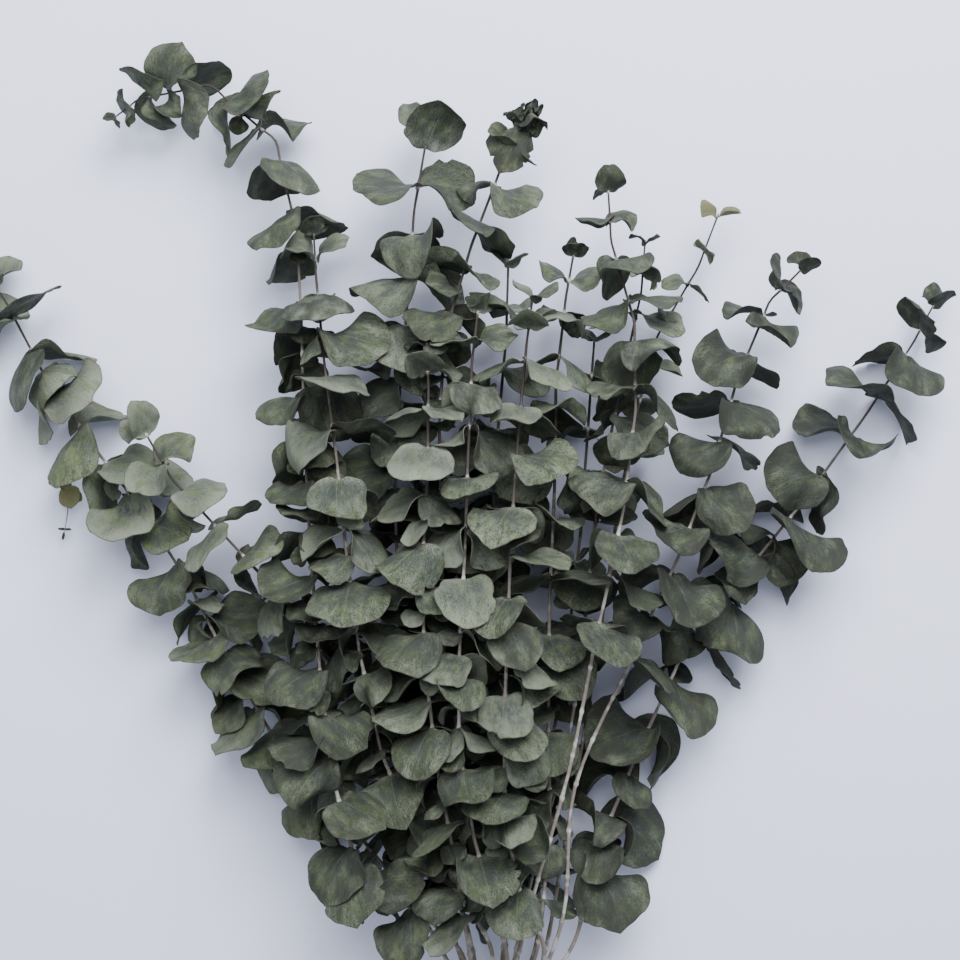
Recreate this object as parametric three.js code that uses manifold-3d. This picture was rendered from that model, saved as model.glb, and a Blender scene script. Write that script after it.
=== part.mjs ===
// A tied bunch of dried silver-dollar eucalyptus, lying on a surface.
// Millimetres. +Y runs from the cut ends to the leafy tips, +X to the right of the bunch, +Z up from
// the surface. The origin is the point of the surface right under the tie.
// Each leafy stem is one solid: a tapering twig with its pairs of round leaves grown into it.
// The stems never touch each other above the tie: a leaf that would cross another is bent clear of it.
import * as THREE from "three";
import { mergeVertices } from "three/addons/utils/BufferGeometryUtils.js";
import Module from "manifold-3d";

const solids = await Module();
solids.setup();
const { Manifold, Mesh: SolidMesh } = solids;

// ---------- Driving dimensions ----------

// The tie: turns of twine side by side round the bundle of stems.
const TWINE_THICKNESS = 2.2;
const TWINE_TURNS = 5;
const TIE_INNER_RADIUS = 10.7;
const TIE_OUTER_RADIUS = TIE_INNER_RADIUS + TWINE_THICKNESS;
const TIE_CENTRE_HEIGHT = TIE_OUTER_RADIUS - 0.45;
const TIE_STEPS_ROUND = 20;
const GROOVE_SHARE = 0.3;
const KNOT_RADIUS = 2.8;
const KNOT_STRETCH = [1.25, 1, 0.8];
const KNOT_STEPS = [8, 5];
const KNOT_LIFT = 1.1;
const TAIL_ROUTE = [[0, 0, 28], [7, -3, 28.4], [13, -7, 25.5], [17, -10, 19.5], [18.5, -12, 12]];
const TAIL_STEPS = 6;
const TAIL_SIDES = 5;

// The bundle at the tie: stems packed in rows, each in the notch between two others.
const PACKING_STEP = 4.15;
const ROW_STEP = PACKING_STEP * 0.87;
const STRAIGHT_THROUGH_TIE = 9;
const CUT_END = -66;
const CUT_END_SPREAD = 1.7;
const CUT_END_STEP_PER_COLUMN = -5;
const CUT_END_STEP_PER_ROW = 4;
const LOWEST_CUT_STEM = 2.4;

// Where the stems have fanned out above the tie, and how far apart they are there.
const FAN_START = 92;
const FAN_STEP_ACROSS = 23;
const FAN_STEP_UP = 13;
const FAN_CENTRE_ACROSS = 6;
const FAN_CENTRE_HEIGHT = 37;

// Stems and leaves.
const STEM_SIDES = 4;
const BELOW_LAST_PAIR = 6;
const BARE_RINGS = [0, 0.3, 0.6, 0.85];
const ROUTE_STEPS_PER_SPAN = 12;
const BARE_BELOW = 104;
const LEAF_THICKNESS = 0.7;
const ROOT_WIDTH_SHARE = 0.56;
const FOLD_REACHED = 0.4;
const ROLL_REACHED = 0.35;
const SMALL_LEAF = 25;
const FIRST_PAIR_FROM_TIP = 2.5;
const PAIR_GAP = 7.2;
const PAIR_GAP_PER_LEAF_LENGTH = 0.56;
const PAIR_GAP_SHARE = [0.88, 1.14];
const TRIES_PER_LEAF = 18;
const GAP_TO_OTHER_STEMS = 0.45;
const GAP_ON_OWN_STEM = 0.12;
const GAP_TO_OWN_TWIG = 0.1;
const HIGHEST_LEAF = 112;

// Outline of a leaf: place along the midrib, and half-width as a share of the widest.
const LARGE_OUTLINE = [[0.18, 0.8], [0.5, 1], [0.83, 0.72]];
const SMALL_OUTLINE = [[0.27, 0.94], [0.75, 0.84]];

// The stems, from the front of the bunch to the back. place: [column, row] in the bundle at the tie,
// row 0 on the surface. radius: at the cut end and at the tip. leaf: full length, length at the tip,
// and the distance over which the leaves grow to full length. spread: the gap between pairs against that
// of the fullest stems. turn: degrees from the top of the bunch to the first leaf. faceUp: how far the leaves
// turn their faces up against those of the other stems. hangs: the distances from the tip between which the
// leaves hang like the sides of a tent. bareBelow: the stem carries no leaf nearer the tie. route: points of
// the centreline from the foot of the leafy part to the tip.
const STEMS = [
  {
    name: "stem_front_center", place: [0, 4], radius: [1.8, 0.9], leaf: [36, 16, 70], spread: 1, turn: 10,
    route: [[-9, 124, 74], [-13, 156, 80], [-20, 192, 84], [-22, 234, 85], [-19, 288, 84],
      [-17, 342, 82], [-15, 396, 78], [-13, 438, 72], [-10, 461, 68]],
  },
  {
    name: "stem_front_right", place: [1, 4], radius: [1.8, 0.9], leaf: [37, 15, 70], spread: 1, turn: 70,
    route: [[10, 124, 74], [5, 168, 80], [5, 222, 84], [7, 276, 85], [9, 330, 84], [13, 384, 80],
      [17, 429, 74], [22, 468, 66]],
  },
  {
    name: "stem_front_left", place: [-1, 4], radius: [1.8, 0.9], leaf: [36, 15, 70], spread: 1, turn: 60,
    route: [[-22, 127, 70], [-30, 174, 76], [-39, 228, 80], [-42, 276, 82], [-42, 324, 82],
      [-39, 372, 80], [-39, 414, 76], [-40, 441, 72]],
  },
  {
    name: "stem_broken_top", place: [-0.5, 3], radius: [1.8, 0.8], leaf: [39, 10, 60], spread: 1, turn: 0,
    route: [[-33, 126, 58], [-56, 168, 62], [-71, 216, 66], [-80, 264, 72], [-86, 312, 76],
      [-91, 360, 76], [-97, 408, 72], [-103, 450, 64], [-106, 480, 56], [-108, 509, 50]],
  },
  {
    name: "stem_right_front", place: [0.5, 3], radius: [1.8, 0.8], leaf: [34, 16, 80], spread: 1.05, turn: 20,
    bareBelow: 270,
    route: [[24, 122, 66], [32, 144, 72], [44, 198, 78], [53, 246, 80], [64, 294, 80], [74, 342, 78],
      [80, 384, 74], [83, 426, 70], [80, 462, 64], [71, 491, 58], [67, 513, 54], [67, 534, 52]],
  },
  {
    name: "stem_arched", place: [-1.5, 3], radius: [1.8, 0.6], leaf: [37, 5, 60], spread: 1, turn: 45,
    faceUp: 1.6, hangs: [118, 212],
    route: [[-64, 112, 58], [-82, 134, 66], [-91, 164, 71], [-97, 207, 74], [-104, 258, 72],
      [-107, 309, 66], [-112, 366, 60], [-114, 426, 54], [-116, 474, 48], [-119, 513, 44],
      [-123, 540, 42], [-131, 562, 40], [-142, 580, 40], [-160, 593, 38], [-182, 599, 36],
      [-202, 595, 34], [-219, 588, 32], [-232, 578, 30]],
  },
  {
    name: "stem_right_tall", place: [1.5, 3], radius: [1.8, 0.8], leaf: [37, 13, 90], spread: 1, turn: 45,
    faceUp: 1.3, bareBelow: 235,
    route: [[36, 124, 54], [44, 168, 56], [56, 201, 56], [67, 224, 56], [80, 252, 55], [94, 284, 54],
      [105, 307, 54], [117, 333, 53], [124, 354, 52], [133, 378, 50], [139, 399, 50],
      [145, 423, 50], [151, 441, 50], [158, 457, 50], [169, 474, 50], [184, 487, 50]],
  },
  {
    name: "stem_tall_leaf", place: [-1, 2], radius: [1.8, 0.9], leaf: [36, 31, 40], spread: 1, turn: 20,
    route: [[-30, 132, 40], [-44, 180, 40], [-54, 234, 40], [-58, 288, 40], [-60, 348, 42],
      [-57, 414, 46], [-52, 468, 50], [-49, 510, 51], [-45, 546, 50], [-41, 562, 50]],
  },
  {
    name: "stem_dark_tip", place: [0, 2], radius: [1.8, 0.9], leaf: [35, 17, 110], spread: 1, turn: 50,
    route: [[-8, 132, 44], [-18, 186, 50], [-27, 240, 54], [-31, 294, 55], [-32, 348, 55],
      [-33, 402, 56], [-29, 450, 58], [-19, 486, 60], [-6, 517, 60], [5, 548, 58], [17, 571, 56]],
  },
  {
    name: "stem_center_right", place: [1, 2], radius: [1.8, 0.9], leaf: [38, 13, 80], spread: 1.1, turn: 5,
    route: [[27, 118, 42], [32, 150, 46], [32, 204, 50], [31, 264, 54], [34, 312, 56], [35, 354, 56],
      [35, 396, 54], [38, 438, 50], [43, 474, 48], [47, 496, 48]],
  },
  {
    name: "stem_left_inner", place: [-1.5, 1], radius: [1.8, 0.8], leaf: [34, 20, 90], spread: 1, turn: 40,
    faceUp: 1.4,
    route: [[-49, 138, 31], [-70, 180, 35], [-87, 222, 40], [-100, 255, 45], [-115, 277, 50],
      [-131, 295, 52], [-147, 312, 53], [-165, 332, 54], [-182, 349, 54], [-196, 367, 54],
      [-208, 389, 54]],
  },
  {
    name: "stem_right_middle", place: [0.5, 1], radius: [1.8, 0.7], leaf: [34, 10, 80], spread: 1.3, turn: 75,
    bareBelow: 270,
    route: [[24, 126, 28], [38, 174, 36], [47, 222, 42], [54, 276, 46], [58, 324, 48], [65, 372, 48],
      [76, 420, 46], [86, 462, 44], [90, 504, 42]],
  },
  {
    name: "stem_far_left", place: [-2, 2], radius: [1.8, 0.8], leaf: [38, 16, 50], spread: 0.9, turn: 45,
    faceUp: 1.5,
    route: [[-66, 125, 30], [-99, 164, 24], [-129, 197, 24], [-153, 233, 25], [-169, 264, 26],
      [-183, 293, 27], [-201, 320, 28], [-218, 348, 28], [-235, 370, 28], [-251, 390, 27],
      [-267, 413, 27], [-281, 438, 27], [-296, 467, 27], [-313, 491, 26]],
  },
  {
    name: "stem_far_right", place: [2, 2], radius: [1.8, 0.7], leaf: [45, 14, 80], spread: 0.95, turn: 40,
    faceUp: 1.5,
    route: [[56, 118, 33], [74, 165, 28], [92, 207, 26], [110, 245, 26], [124, 275, 27],
      [141, 294, 28], [163, 313, 29], [183, 341, 29], [201, 368, 29], [217, 390, 28],
      [229, 404, 28], [243, 419, 28], [251, 437, 28], [258, 453, 28], [267, 468, 28]],
  },
  {
    name: "stem_yellow_thin", place: [1.5, 1], radius: [1.8, 0.6], leaf: [26, 13, 300], spread: 1.5, turn: 80,
    bareBelow: 330,
    route: [[42, 132, 22], [52, 186, 22], [60, 240, 24], [67, 294, 24], [76, 348, 24], [85, 396, 24],
      [94, 437, 26], [111, 468, 30], [123, 489, 32], [133, 509, 34], [135, 521, 34]],
  },
  {
    name: "stem_back_right", place: [1, 0], radius: [1.8, 0.9], leaf: [34, 14, 70], spread: 1.5, turn: 40,
    route: [[22, 132, 14], [34, 186, 20], [42, 240, 24], [48, 294, 26], [54, 348, 28], [57, 402, 32],
      [60, 447, 36]],
  },
  {
    name: "stem_back_center", place: [0, 0], radius: [1.8, 0.9], leaf: [34, 14, 70], spread: 1.5, turn: 65,
    route: [[2, 120, 16], [-1, 174, 22], [-4, 234, 24], [-4, 294, 26], [-1, 354, 28], [3, 408, 32],
      [7, 450, 38], [8, 491, 42]],
  },
];

// Range of each draw that shapes a leaf, in degrees where it is an angle.
const START_DROOP = [-8, 34];
const ADDED_DROOP = [4, 50];
const FACE_UP_ROLL = [18, 54];
const UPRIGHT_AT_TIP = 76;
const UPRIGHT_WITHIN = 42;
const HANGING_FACE_UP = 0.2;
const HANGING_DROOP = 16;
const LOOSE_ROLL = [-18, 18];
const MARGIN_FOLD = [-34, 20];
const CURLED_MARGIN_FOLD = [-74, 66];
const CURLED_SHARE = 0.14;
const SIDEWAYS_LEAN = [-17, 17];
const LENGTH_SHARE = [0.88, 1.1];
const WIDTH_SHARE = [1.02, 1.2];
const SHRINK_AFTER_TRY = 7;
const SHRINK_PER_TRY = 0.04;
const WIDER_DROOP_PER_TRY = 3;

const LEAF_FINISH = { color: 0x7d8c7c, roughness: 0.82, metalness: 0 };
const TWINE_FINISH = { color: 0xa8926a, roughness: 0.9, metalness: 0 };

// ---------- Small tools ----------

const radians = THREE.MathUtils.degToRad;
const vector = (x, y, z) => new THREE.Vector3(x, y, z);

/** A repeatable stream of draws between a low and a high value. */
function seededDraws(seed) {
  const modulus = 2147483647;
  let state = (seed % (modulus - 1)) + 1;
  const next = () => (state = (state * 16807) % modulus);
  for (let i = 0; i < 4; i++) next();
  return ([low, high]) => low + (high - low) * (next() / modulus);
}

/** A closed solid from vertices and triangles. */
function solidFrom(points, triangles) {
  return new Manifold(
    new SolidMesh({
      numProp: 3,
      vertProperties: new Float32Array(points.flatMap((p) => [p.x, p.y, p.z])),
      triVerts: new Uint32Array(triangles.flat()),
    }),
  );
}

/** A closed solid from a three.js geometry. */
function solidFromGeometry(geometry) {
  const bare = geometry.clone();
  bare.deleteAttribute("normal");
  bare.deleteAttribute("uv");
  const merged = mergeVertices(bare, 1e-4);
  return new Manifold(
    new SolidMesh({
      numProp: 3,
      vertProperties: merged.attributes.position.array,
      triVerts: new Uint32Array(merged.index.array),
    }),
  );
}

/** The box round a solid. */
function boxOf(solid) {
  const { min, max } = solid.boundingBox();
  return new THREE.Box3(vector(...min), vector(...max));
}

/** A three.js geometry from a solid. */
function geometryFrom(solid) {
  const mesh = solid.getMesh();
  const geometry = new THREE.BufferGeometry();
  geometry.setAttribute("position", new THREE.BufferAttribute(mesh.vertProperties, 3));
  geometry.setIndex(new THREE.BufferAttribute(mesh.triVerts, 1));
  geometry.computeVertexNormals();
  return geometry;
}

// ---------- Stems ----------

/** Where a stem passes through the tie. */
function placeAtTie([column, row]) {
  return vector(column * PACKING_STEP, 0, TIE_CENTRE_HEIGHT + (row - 2) * ROW_STEP);
}

/** The whole centreline of a stem, from its cut end to its tip. */
function centreline(stem) {
  const [column, row] = stem.place;
  const tie = placeAtTie(stem.place);
  const cutHeight = TIE_CENTRE_HEIGHT + (row - 2) * ROW_STEP * CUT_END_SPREAD;
  const end = vector(
    tie.x * CUT_END_SPREAD,
    CUT_END + CUT_END_STEP_PER_COLUMN * Math.abs(column) + CUT_END_STEP_PER_ROW * (row % 3),
    Math.max(cutHeight, LOWEST_CUT_STEM),
  );
  const fan = vector(
    FAN_CENTRE_ACROSS + column * FAN_STEP_ACROSS,
    FAN_START,
    FAN_CENTRE_HEIGHT + (row - 2) * FAN_STEP_UP,
  );
  const throughTie = [-STRAIGHT_THROUGH_TIE, STRAIGHT_THROUGH_TIE].map((y) => vector(tie.x, y, tie.z));
  const points = [end, ...throughTie, fan, ...stem.route.map(([x, y, z]) => vector(x, y, z))];
  return new THREE.CatmullRomCurve3(points, false, "centripetal");
}

/** Close samples of a centreline with the distance of each from the tip, and the distances of the
 * points between which it passes through the tie. */
function sampleRoute(curve) {
  const count = (curve.points.length - 1) * ROUTE_STEPS_PER_SPAN;
  const samples = curve.getPoints(count).reverse();
  const distances = [0];
  for (let i = 1; i <= count; i++) {
    distances.push(distances[i - 1] + samples[i].distanceTo(samples[i - 1]));
  }
  const [intoTie, outOfTie] = [2, 1].map((spans) => distances[count - spans * ROUTE_STEPS_PER_SPAN]);
  return { samples, distances, intoTie, outOfTie };
}

/** The point at a distance from the tip. */
function placeOnRoute({ samples, distances }, distance) {
  let i = 1;
  while (i < distances.length - 1 && distances[i] < distance) i++;
  const share = (distance - distances[i - 1]) / (distances[i] - distances[i - 1]);
  return samples[i - 1].clone().lerp(samples[i], share);
}

/** Distances from the tip at which a stem carries a pair of leaves. */
function pairPlaces(stem, stemNumber, route) {
  const places = [];
  const draw = seededDraws(7000 + 97 * stemNumber);
  let distance = FIRST_PAIR_FROM_TIP;
  const { bareBelow = BARE_BELOW } = stem;
  while (distance < route.distances.at(-1) && placeOnRoute(route, distance).y > bareBelow) {
    places.push(distance);
    const gap = PAIR_GAP + PAIR_GAP_PER_LEAF_LENGTH * leafLengthAt(stem, distance);
    distance += gap * stem.spread * draw(PAIR_GAP_SHARE);
  }
  return places;
}

/** The rings of corners that a twig runs through: one between each two pairs of leaves, and a few
 * down to the tie and the cut end. */
function twigRings(stem, route, pairs) {
  const total = route.distances.at(-1);
  const stations = [0];
  for (let i = 2; i < pairs.length; i += 2) stations.push((pairs[i - 1] + pairs[i]) / 2);
  const bareFrom = pairs.at(-1) + BELOW_LAST_PAIR;
  for (const share of BARE_RINGS) stations.push(bareFrom + (route.intoTie - bareFrom) * share);
  stations.push(route.intoTie, route.outOfTie, total);
  const [endRadius, tipRadius] = stem.radius;
  const centres = stations.map((distance) => placeOnRoute(route, distance));
  const growths = centres.slice(1).map((lower, i) => centres[i].clone().sub(lower).normalize());
  let offsets = cornerDirections(growths[0], radians(stem.turn));
  return stations.map((distance, i) => {
    const above = growths[Math.max(i - 1, 0)];
    const below = growths[Math.min(i, growths.length - 1)];
    offsets = offsets.map((offset) => slideToMitre(offset, above, below));
    const radius = tipRadius + (endRadius - tipRadius) * Math.sqrt(distance / total);
    const corners = offsets.map((offset) => centres[i].clone().addScaledVector(offset, radius));
    return { distance, corners };
  });
}

/** Directions of the corners of a twig from its centreline, the first side facing the given turn. */
function cornerDirections(growth, turn) {
  const up = vector(0, 0, 1).addScaledVector(growth, -growth.z).normalize();
  const right = growth.clone().cross(up);
  return Array.from({ length: STEM_SIDES }, (_, k) => {
    const angle = turn + ((k - 0.5) * 2 * Math.PI) / STEM_SIDES;
    return up.clone().multiplyScalar(Math.cos(angle)).addScaledVector(right, Math.sin(angle));
  });
}

/** A corner direction carried down to the mitre plane between two stretches, so sides stay flat. */
function slideToMitre(offset, above, below) {
  const mitre = above.clone().add(below).normalize();
  return offset.clone().addScaledVector(above, -offset.dot(mitre) / above.dot(mitre));
}

/** A point of one side of a twig between two rings. across: 0 to 1 over the side. rise: 0 at the lower
 * ring to 1 at the upper one. */
function pointOnSide(upper, lower, side, across, rise) {
  const next = (side + 1) % STEM_SIDES;
  const low = lower.corners[side].clone().lerp(lower.corners[next], across);
  const high = upper.corners[side].clone().lerp(upper.corners[next], across);
  return low.lerp(high, rise);
}

/** The part of a twig round each pair: its two rings and the share of the way up between them. */
function stretchAt(rings, distance) {
  const i = rings.findIndex((ring, k) => k > 0 && ring.distance > distance);
  const [upper, lower] = [rings[i - 1], rings[i]];
  const rise = (lower.distance - distance) / (lower.distance - upper.distance);
  return { number: i - 1, upper, lower, rise };
}

/** A bare twig, closed at both ends. */
function twigSolid(rings) {
  const points = rings.flatMap((ring) => ring.corners);
  const triangles = [];
  for (let i = 0; i < rings.length - 1; i++) {
    for (let k = 0; k < STEM_SIDES; k++) triangles.push(...sideTriangles(i, k));
  }
  triangles.push(...endTriangles(rings.length));
  return solidFrom(points, triangles);
}

/** Corners of one side of a twig stretch, counter-clockwise seen from outside. */
function sideCorners(stretch, side) {
  const upper = stretch * STEM_SIDES;
  const lower = upper + STEM_SIDES;
  const next = (side + 1) % STEM_SIDES;
  return [lower + side, lower + next, upper + next, upper + side];
}

/** The two triangles of a side that carries no leaf. */
function sideTriangles(stretch, side) {
  const [a, b, c, d] = sideCorners(stretch, side);
  return [[a, b, c], [a, c, d]];
}

/** The closed ends of a twig. */
function endTriangles(ringCount) {
  const last = (ringCount - 1) * STEM_SIDES;
  return [[0, 1, 2], [0, 2, 3], [last, last + 2, last + 1], [last, last + 3, last + 2]];
}

// ---------- Leaves ----------

/** Length of the leaves at a distance from the tip of their stem. */
function leafLengthAt(stem, distance) {
  const [full, atTip, growth] = stem.leaf;
  const share = Math.min(distance / growth, 1);
  return atTip + (full - atTip) * share * (2 - share);
}

/** One way a leaf may hang: the draws of one try. Pairs stand crosswise to the pairs next to them. */
function drawLeaf(stem, stemNumber, rings, pair, distance, half, attempt) {
  const draw = seededDraws(((stemNumber * 61 + pair) * 2 + half) * 41 + attempt);
  const side = (pair + 2 * half) % STEM_SIDES;
  const stretch = stretchAt(rings, distance);
  const root = pointOnSide(stretch.upper, stretch.lower, side, 0.5, stretch.rise);
  const growth = pointOnSide(stretch.upper, stretch.lower, side, 0.5, 1).sub(root).normalize();
  const sideways = pointOnSide(stretch.upper, stretch.lower, side, 1, stretch.rise).sub(root);
  const width = sideways.length() * 2;
  sideways.addScaledVector(growth, -sideways.dot(growth)).normalize();
  const facing = sideways.clone().cross(growth);
  const lean = radians(draw(SIDEWAYS_LEAN));
  const out = facing.multiplyScalar(Math.cos(lean)).addScaledVector(sideways, Math.sin(lean));
  const across = growth.clone().cross(out);
  const shrink = 1 - SHRINK_PER_TRY * Math.max(0, attempt - SHRINK_AFTER_TRY);
  const length = leafLengthAt(stem, distance) * draw(LENGTH_SHARE) * shrink;
  const wider = WIDER_DROOP_PER_TRY * attempt;
  const upright = UPRIGHT_AT_TIP * Math.max(0, 1 - distance / UPRIGHT_WITHIN);
  const { faceUp = 1, hangs = [0, 0] } = stem;
  const hanging = distance > hangs[0] && distance < hangs[1];
  const turnedUp = hanging ? HANGING_FACE_UP : faceUp;
  const steeper = hanging ? HANGING_DROOP : 0;
  return {
    side, stretch, root, growth, out, across, length,
    rootWidth: width * ROOT_WIDTH_SHARE,
    width: length * draw(WIDTH_SHARE),
    start: radians(draw(START_DROOP) - upright + steeper + draw([-wider, wider]) / 2),
    droop: radians(draw(ADDED_DROOP) + draw([-wider, wider]) / 2),
    roll: radians(draw(LOOSE_ROLL) - across.z * draw(FACE_UP_ROLL) * turnedUp),
    folds: [drawFold(draw), drawFold(draw)],
  };
}

/** How far one margin folds up, or down where it is below zero. Now and then it curls right round. */
function drawFold(draw) {
  const curled = draw([0, 1]) < CURLED_SHARE;
  return radians(draw(curled ? CURLED_MARGIN_FOLD : MARGIN_FOLD));
}

/** A point of a leaf's middle surface. along: 0 at the root to 1 at the tip. across: share of the widest
 * half-width, negative on one side of the midrib. */
function leafPoint(leaf, along, across) {
  const bend = leaf.droop * along;
  const angle = leaf.start + bend;
  const middle = leaf.start + bend / 2;
  const chord = leaf.length * along * (Math.abs(bend) < 1e-6 ? 1 : Math.sin(bend / 2) / (bend / 2));
  const point = leaf.root.clone()
    .addScaledVector(leaf.out, chord * Math.cos(middle))
    .addScaledVector(leaf.growth, -chord * Math.sin(middle));
  const face = leaf.out.clone().multiplyScalar(Math.sin(angle)).addScaledVector(leaf.growth, Math.cos(angle));
  const roll = leaf.roll * Math.min(1, along / ROLL_REACHED);
  const side = leaf.across.clone().multiplyScalar(Math.cos(roll)).addScaledVector(face, Math.sin(roll));
  const upper = face.multiplyScalar(Math.cos(roll)).addScaledVector(leaf.across, -Math.sin(roll));
  const half = (leaf.width / 2) * across;
  const fold = leaf.folds[across < 0 ? 0 : 1] * Math.min(1, along / FOLD_REACHED);
  point.addScaledVector(side, half * Math.cos(fold)).addScaledVector(upper, Math.abs(half) * Math.sin(fold));
  point.z = Math.max(point.z, LEAF_THICKNESS / 2);
  return point;
}

/** The four corners of a leaf's root on its side of the twig, counter-clockwise from the lower left. */
function rootCorners({ side, stretch, start, rootWidth }) {
  const at = (across, up) => pointOnSide(stretch.upper, stretch.lower, side, across, up);
  const halfAcross = rootWidth / at(0, stretch.rise).distanceTo(at(1, stretch.rise)) / 2;
  const halfRise = LEAF_THICKNESS / 2 / Math.cos(start) / at(0.5, 0).distanceTo(at(0.5, 1));
  return [[-1, -1], [1, -1], [1, 1], [-1, 1]].map(([x, y]) =>
    at(0.5 + halfAcross * x, stretch.rise + halfRise * y),
  );
}

/** A thin blade: an upper and a lower face split alike along the midrib, and the rim, open at the root.
 * The first four points are the corners of the root. */
function leafBlade(leaf) {
  const outline = leaf.length < SMALL_LEAF ? SMALL_OUTLINE : LARGE_OUTLINE;
  const edge = [
    ...outline.map(([along, half]) => leafPoint(leaf, along, -half)),
    leafPoint(leaf, 1, 0),
    ...outline.toReversed().map(([along, half]) => leafPoint(leaf, along, half)),
  ];
  const roots = rootCorners(leaf);
  const middle = [roots[0].clone().lerp(roots[3], 0.5), ...edge, roots[1].clone().lerp(roots[2], 0.5)];
  const last = middle.length - 1;
  const tip = outline.length + 1;
  const faces = [[0, tip, last]];
  for (let i = 1; i < tip; i++) faces.push([0, i, i + 1]);
  for (let i = tip; i < last - 1; i++) faces.push([last, i, i + 1]);
  const normals = middle.map(() => vector(0, 0, 0));
  for (const [a, b, c] of faces) {
    const face = middle[b].clone().sub(middle[a]).cross(middle[c].clone().sub(middle[a])).normalize();
    for (const k of [a, b, c]) normals[k].add(face);
  }
  const layer = (thickness) =>
    edge.map((p, i) => p.clone().addScaledVector(normals[i + 1].clone().normalize(), thickness));
  const points = [...roots, ...layer(LEAF_THICKNESS / 2), ...layer(-LEAF_THICKNESS / 2)];
  const above = [3, ...edge.map((_, i) => 4 + i), 2];
  const below = [0, ...edge.map((_, i) => 4 + edge.length + i), 1];
  const triangles = [];
  for (const [a, b, c] of faces) {
    triangles.push([above[a], above[b], above[c]], [below[a], below[c], below[b]]);
  }
  for (let i = 0; i < last; i++) {
    triangles.push([above[i], below[i], below[i + 1]], [above[i], below[i + 1], above[i + 1]]);
  }
  return { points, triangles };
}

/** Whether a leaf is clear of its own twig and of the twigs and leaves set so far. */
function isClear(leaf, solid, stemNumber, placed) {
  const box = boxOf(solid);
  if (box.max.z > HIGHEST_LEAF) return false;
  const reach = box.clone().expandByScalar(GAP_TO_OTHER_STEMS);
  for (const other of placed) {
    if (!reach.intersectsBox(other.box)) continue;
    const own = other.stemNumber === stemNumber;
    if (own && other.twig) {
      const lifted = solid.translate(leaf.out.clone().multiplyScalar(GAP_TO_OWN_TWIG).toArray());
      if (lifted.minGap(other.solid, GAP_TO_OWN_TWIG) < GAP_TO_OWN_TWIG * 0.9) return false;
    } else {
      const gap = own ? GAP_ON_OWN_STEM : GAP_TO_OTHER_STEMS;
      if (solid.minGap(other.solid, gap) < gap) return false;
    }
  }
  return true;
}

/** The first way of hanging in which a leaf crosses nothing, or null where there is no room for it. */
function setLeaf(stem, stemNumber, rings, pair, distance, half, placed) {
  for (let attempt = 0; attempt < TRIES_PER_LEAF; attempt++) {
    const leaf = drawLeaf(stem, stemNumber, rings, pair, distance, half, attempt);
    const blade = leafBlade(leaf);
    const solid = solidFrom(blade.points, [...blade.triangles, [0, 2, 1], [0, 3, 2]]);
    if (!isClear(leaf, solid, stemNumber, placed)) continue;
    placed.push({ solid, stemNumber, box: boxOf(solid) });
    return { ...leaf, ...blade };
  }
  return null;
}

/** A twig with its leaves grown out of its sides, as one closed solid. */
function leafyStemSolid(rings, leaves) {
  const points = rings.flatMap((ring) => ring.corners);
  const triangles = endTriangles(rings.length);
  const carried = new Map(leaves.map((leaf) => [leaf.stretch.number * STEM_SIDES + leaf.side, leaf]));
  for (let i = 0; i < rings.length - 1; i++) {
    for (let k = 0; k < STEM_SIDES; k++) {
      const leaf = carried.get(i * STEM_SIDES + k);
      if (!leaf) {
        triangles.push(...sideTriangles(i, k));
        continue;
      }
      const first = points.length;
      points.push(...leaf.points);
      const corners = sideCorners(i, k);
      for (let n = 0; n < 4; n++) {
        const m = (n + 1) % 4;
        triangles.push([corners[n], corners[m], first + m], [corners[n], first + m, first + n]);
      }
      triangles.push(...leaf.triangles.map((triangle) => triangle.map((v) => first + v)));
    }
  }
  return solidFrom(points, triangles);
}

// ---------- The tie ----------

/** Turns of twine side by side, as a ring with a groove between each two turns. */
function woundTwine() {
  const halfWidth = (TWINE_THICKNESS * TWINE_TURNS) / 2;
  const steps = TWINE_TURNS * 2;
  const outside = Array.from({ length: steps + 1 }, (_, i) => {
    const groove = i % 2 === 0 ? TWINE_THICKNESS * GROOVE_SHARE : 0;
    return new THREE.Vector2(TIE_OUTER_RADIUS - groove, -halfWidth + (2 * halfWidth * i) / steps);
  });
  const inside = [halfWidth, -halfWidth].map((y) => new THREE.Vector2(TIE_INNER_RADIUS, y));
  const profile = [...outside, ...inside, outside[0].clone()];
  return solidFromGeometry(new THREE.LatheGeometry(profile, TIE_STEPS_ROUND));
}

/** One loose end of the twine, from the knot over the side of the bundle. */
function twineTail(side) {
  const points = TAIL_ROUTE.map(([x, y, z]) => vector(x * side, y, z));
  const route = new THREE.CatmullRomCurve3(points, false, "centripetal");
  const section = new THREE.Shape(
    Array.from({ length: TAIL_SIDES }, (_, k) => {
      const angle = (2 * Math.PI * k) / TAIL_SIDES;
      return new THREE.Vector2(Math.cos(angle), Math.sin(angle)).multiplyScalar(TWINE_THICKNESS / 2);
    }),
  );
  const tube = new THREE.ExtrudeGeometry(section, { steps: TAIL_STEPS, extrudePath: route });
  return solidFromGeometry(tube);
}

/** The tie: wound twine with a flat spot underneath, a knot on top and two loose ends. */
function tieSolid() {
  const ring = woundTwine().translate([0, 0, TIE_CENTRE_HEIGHT]);
  const underside = new THREE.BoxGeometry(TIE_OUTER_RADIUS * 3, TIE_OUTER_RADIUS * 3, TIE_OUTER_RADIUS);
  underside.translate(0, 0, -TIE_OUTER_RADIUS / 2);
  const knot = new THREE.SphereGeometry(KNOT_RADIUS, ...KNOT_STEPS);
  knot.scale(...KNOT_STRETCH);
  knot.translate(0, 0, TIE_CENTRE_HEIGHT + TIE_OUTER_RADIUS + KNOT_LIFT);
  return ring
    .subtract(solidFromGeometry(underside))
    .add(solidFromGeometry(knot))
    .add(twineTail(1))
    .add(twineTail(-1));
}

// ---------- The bunch ----------

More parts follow.
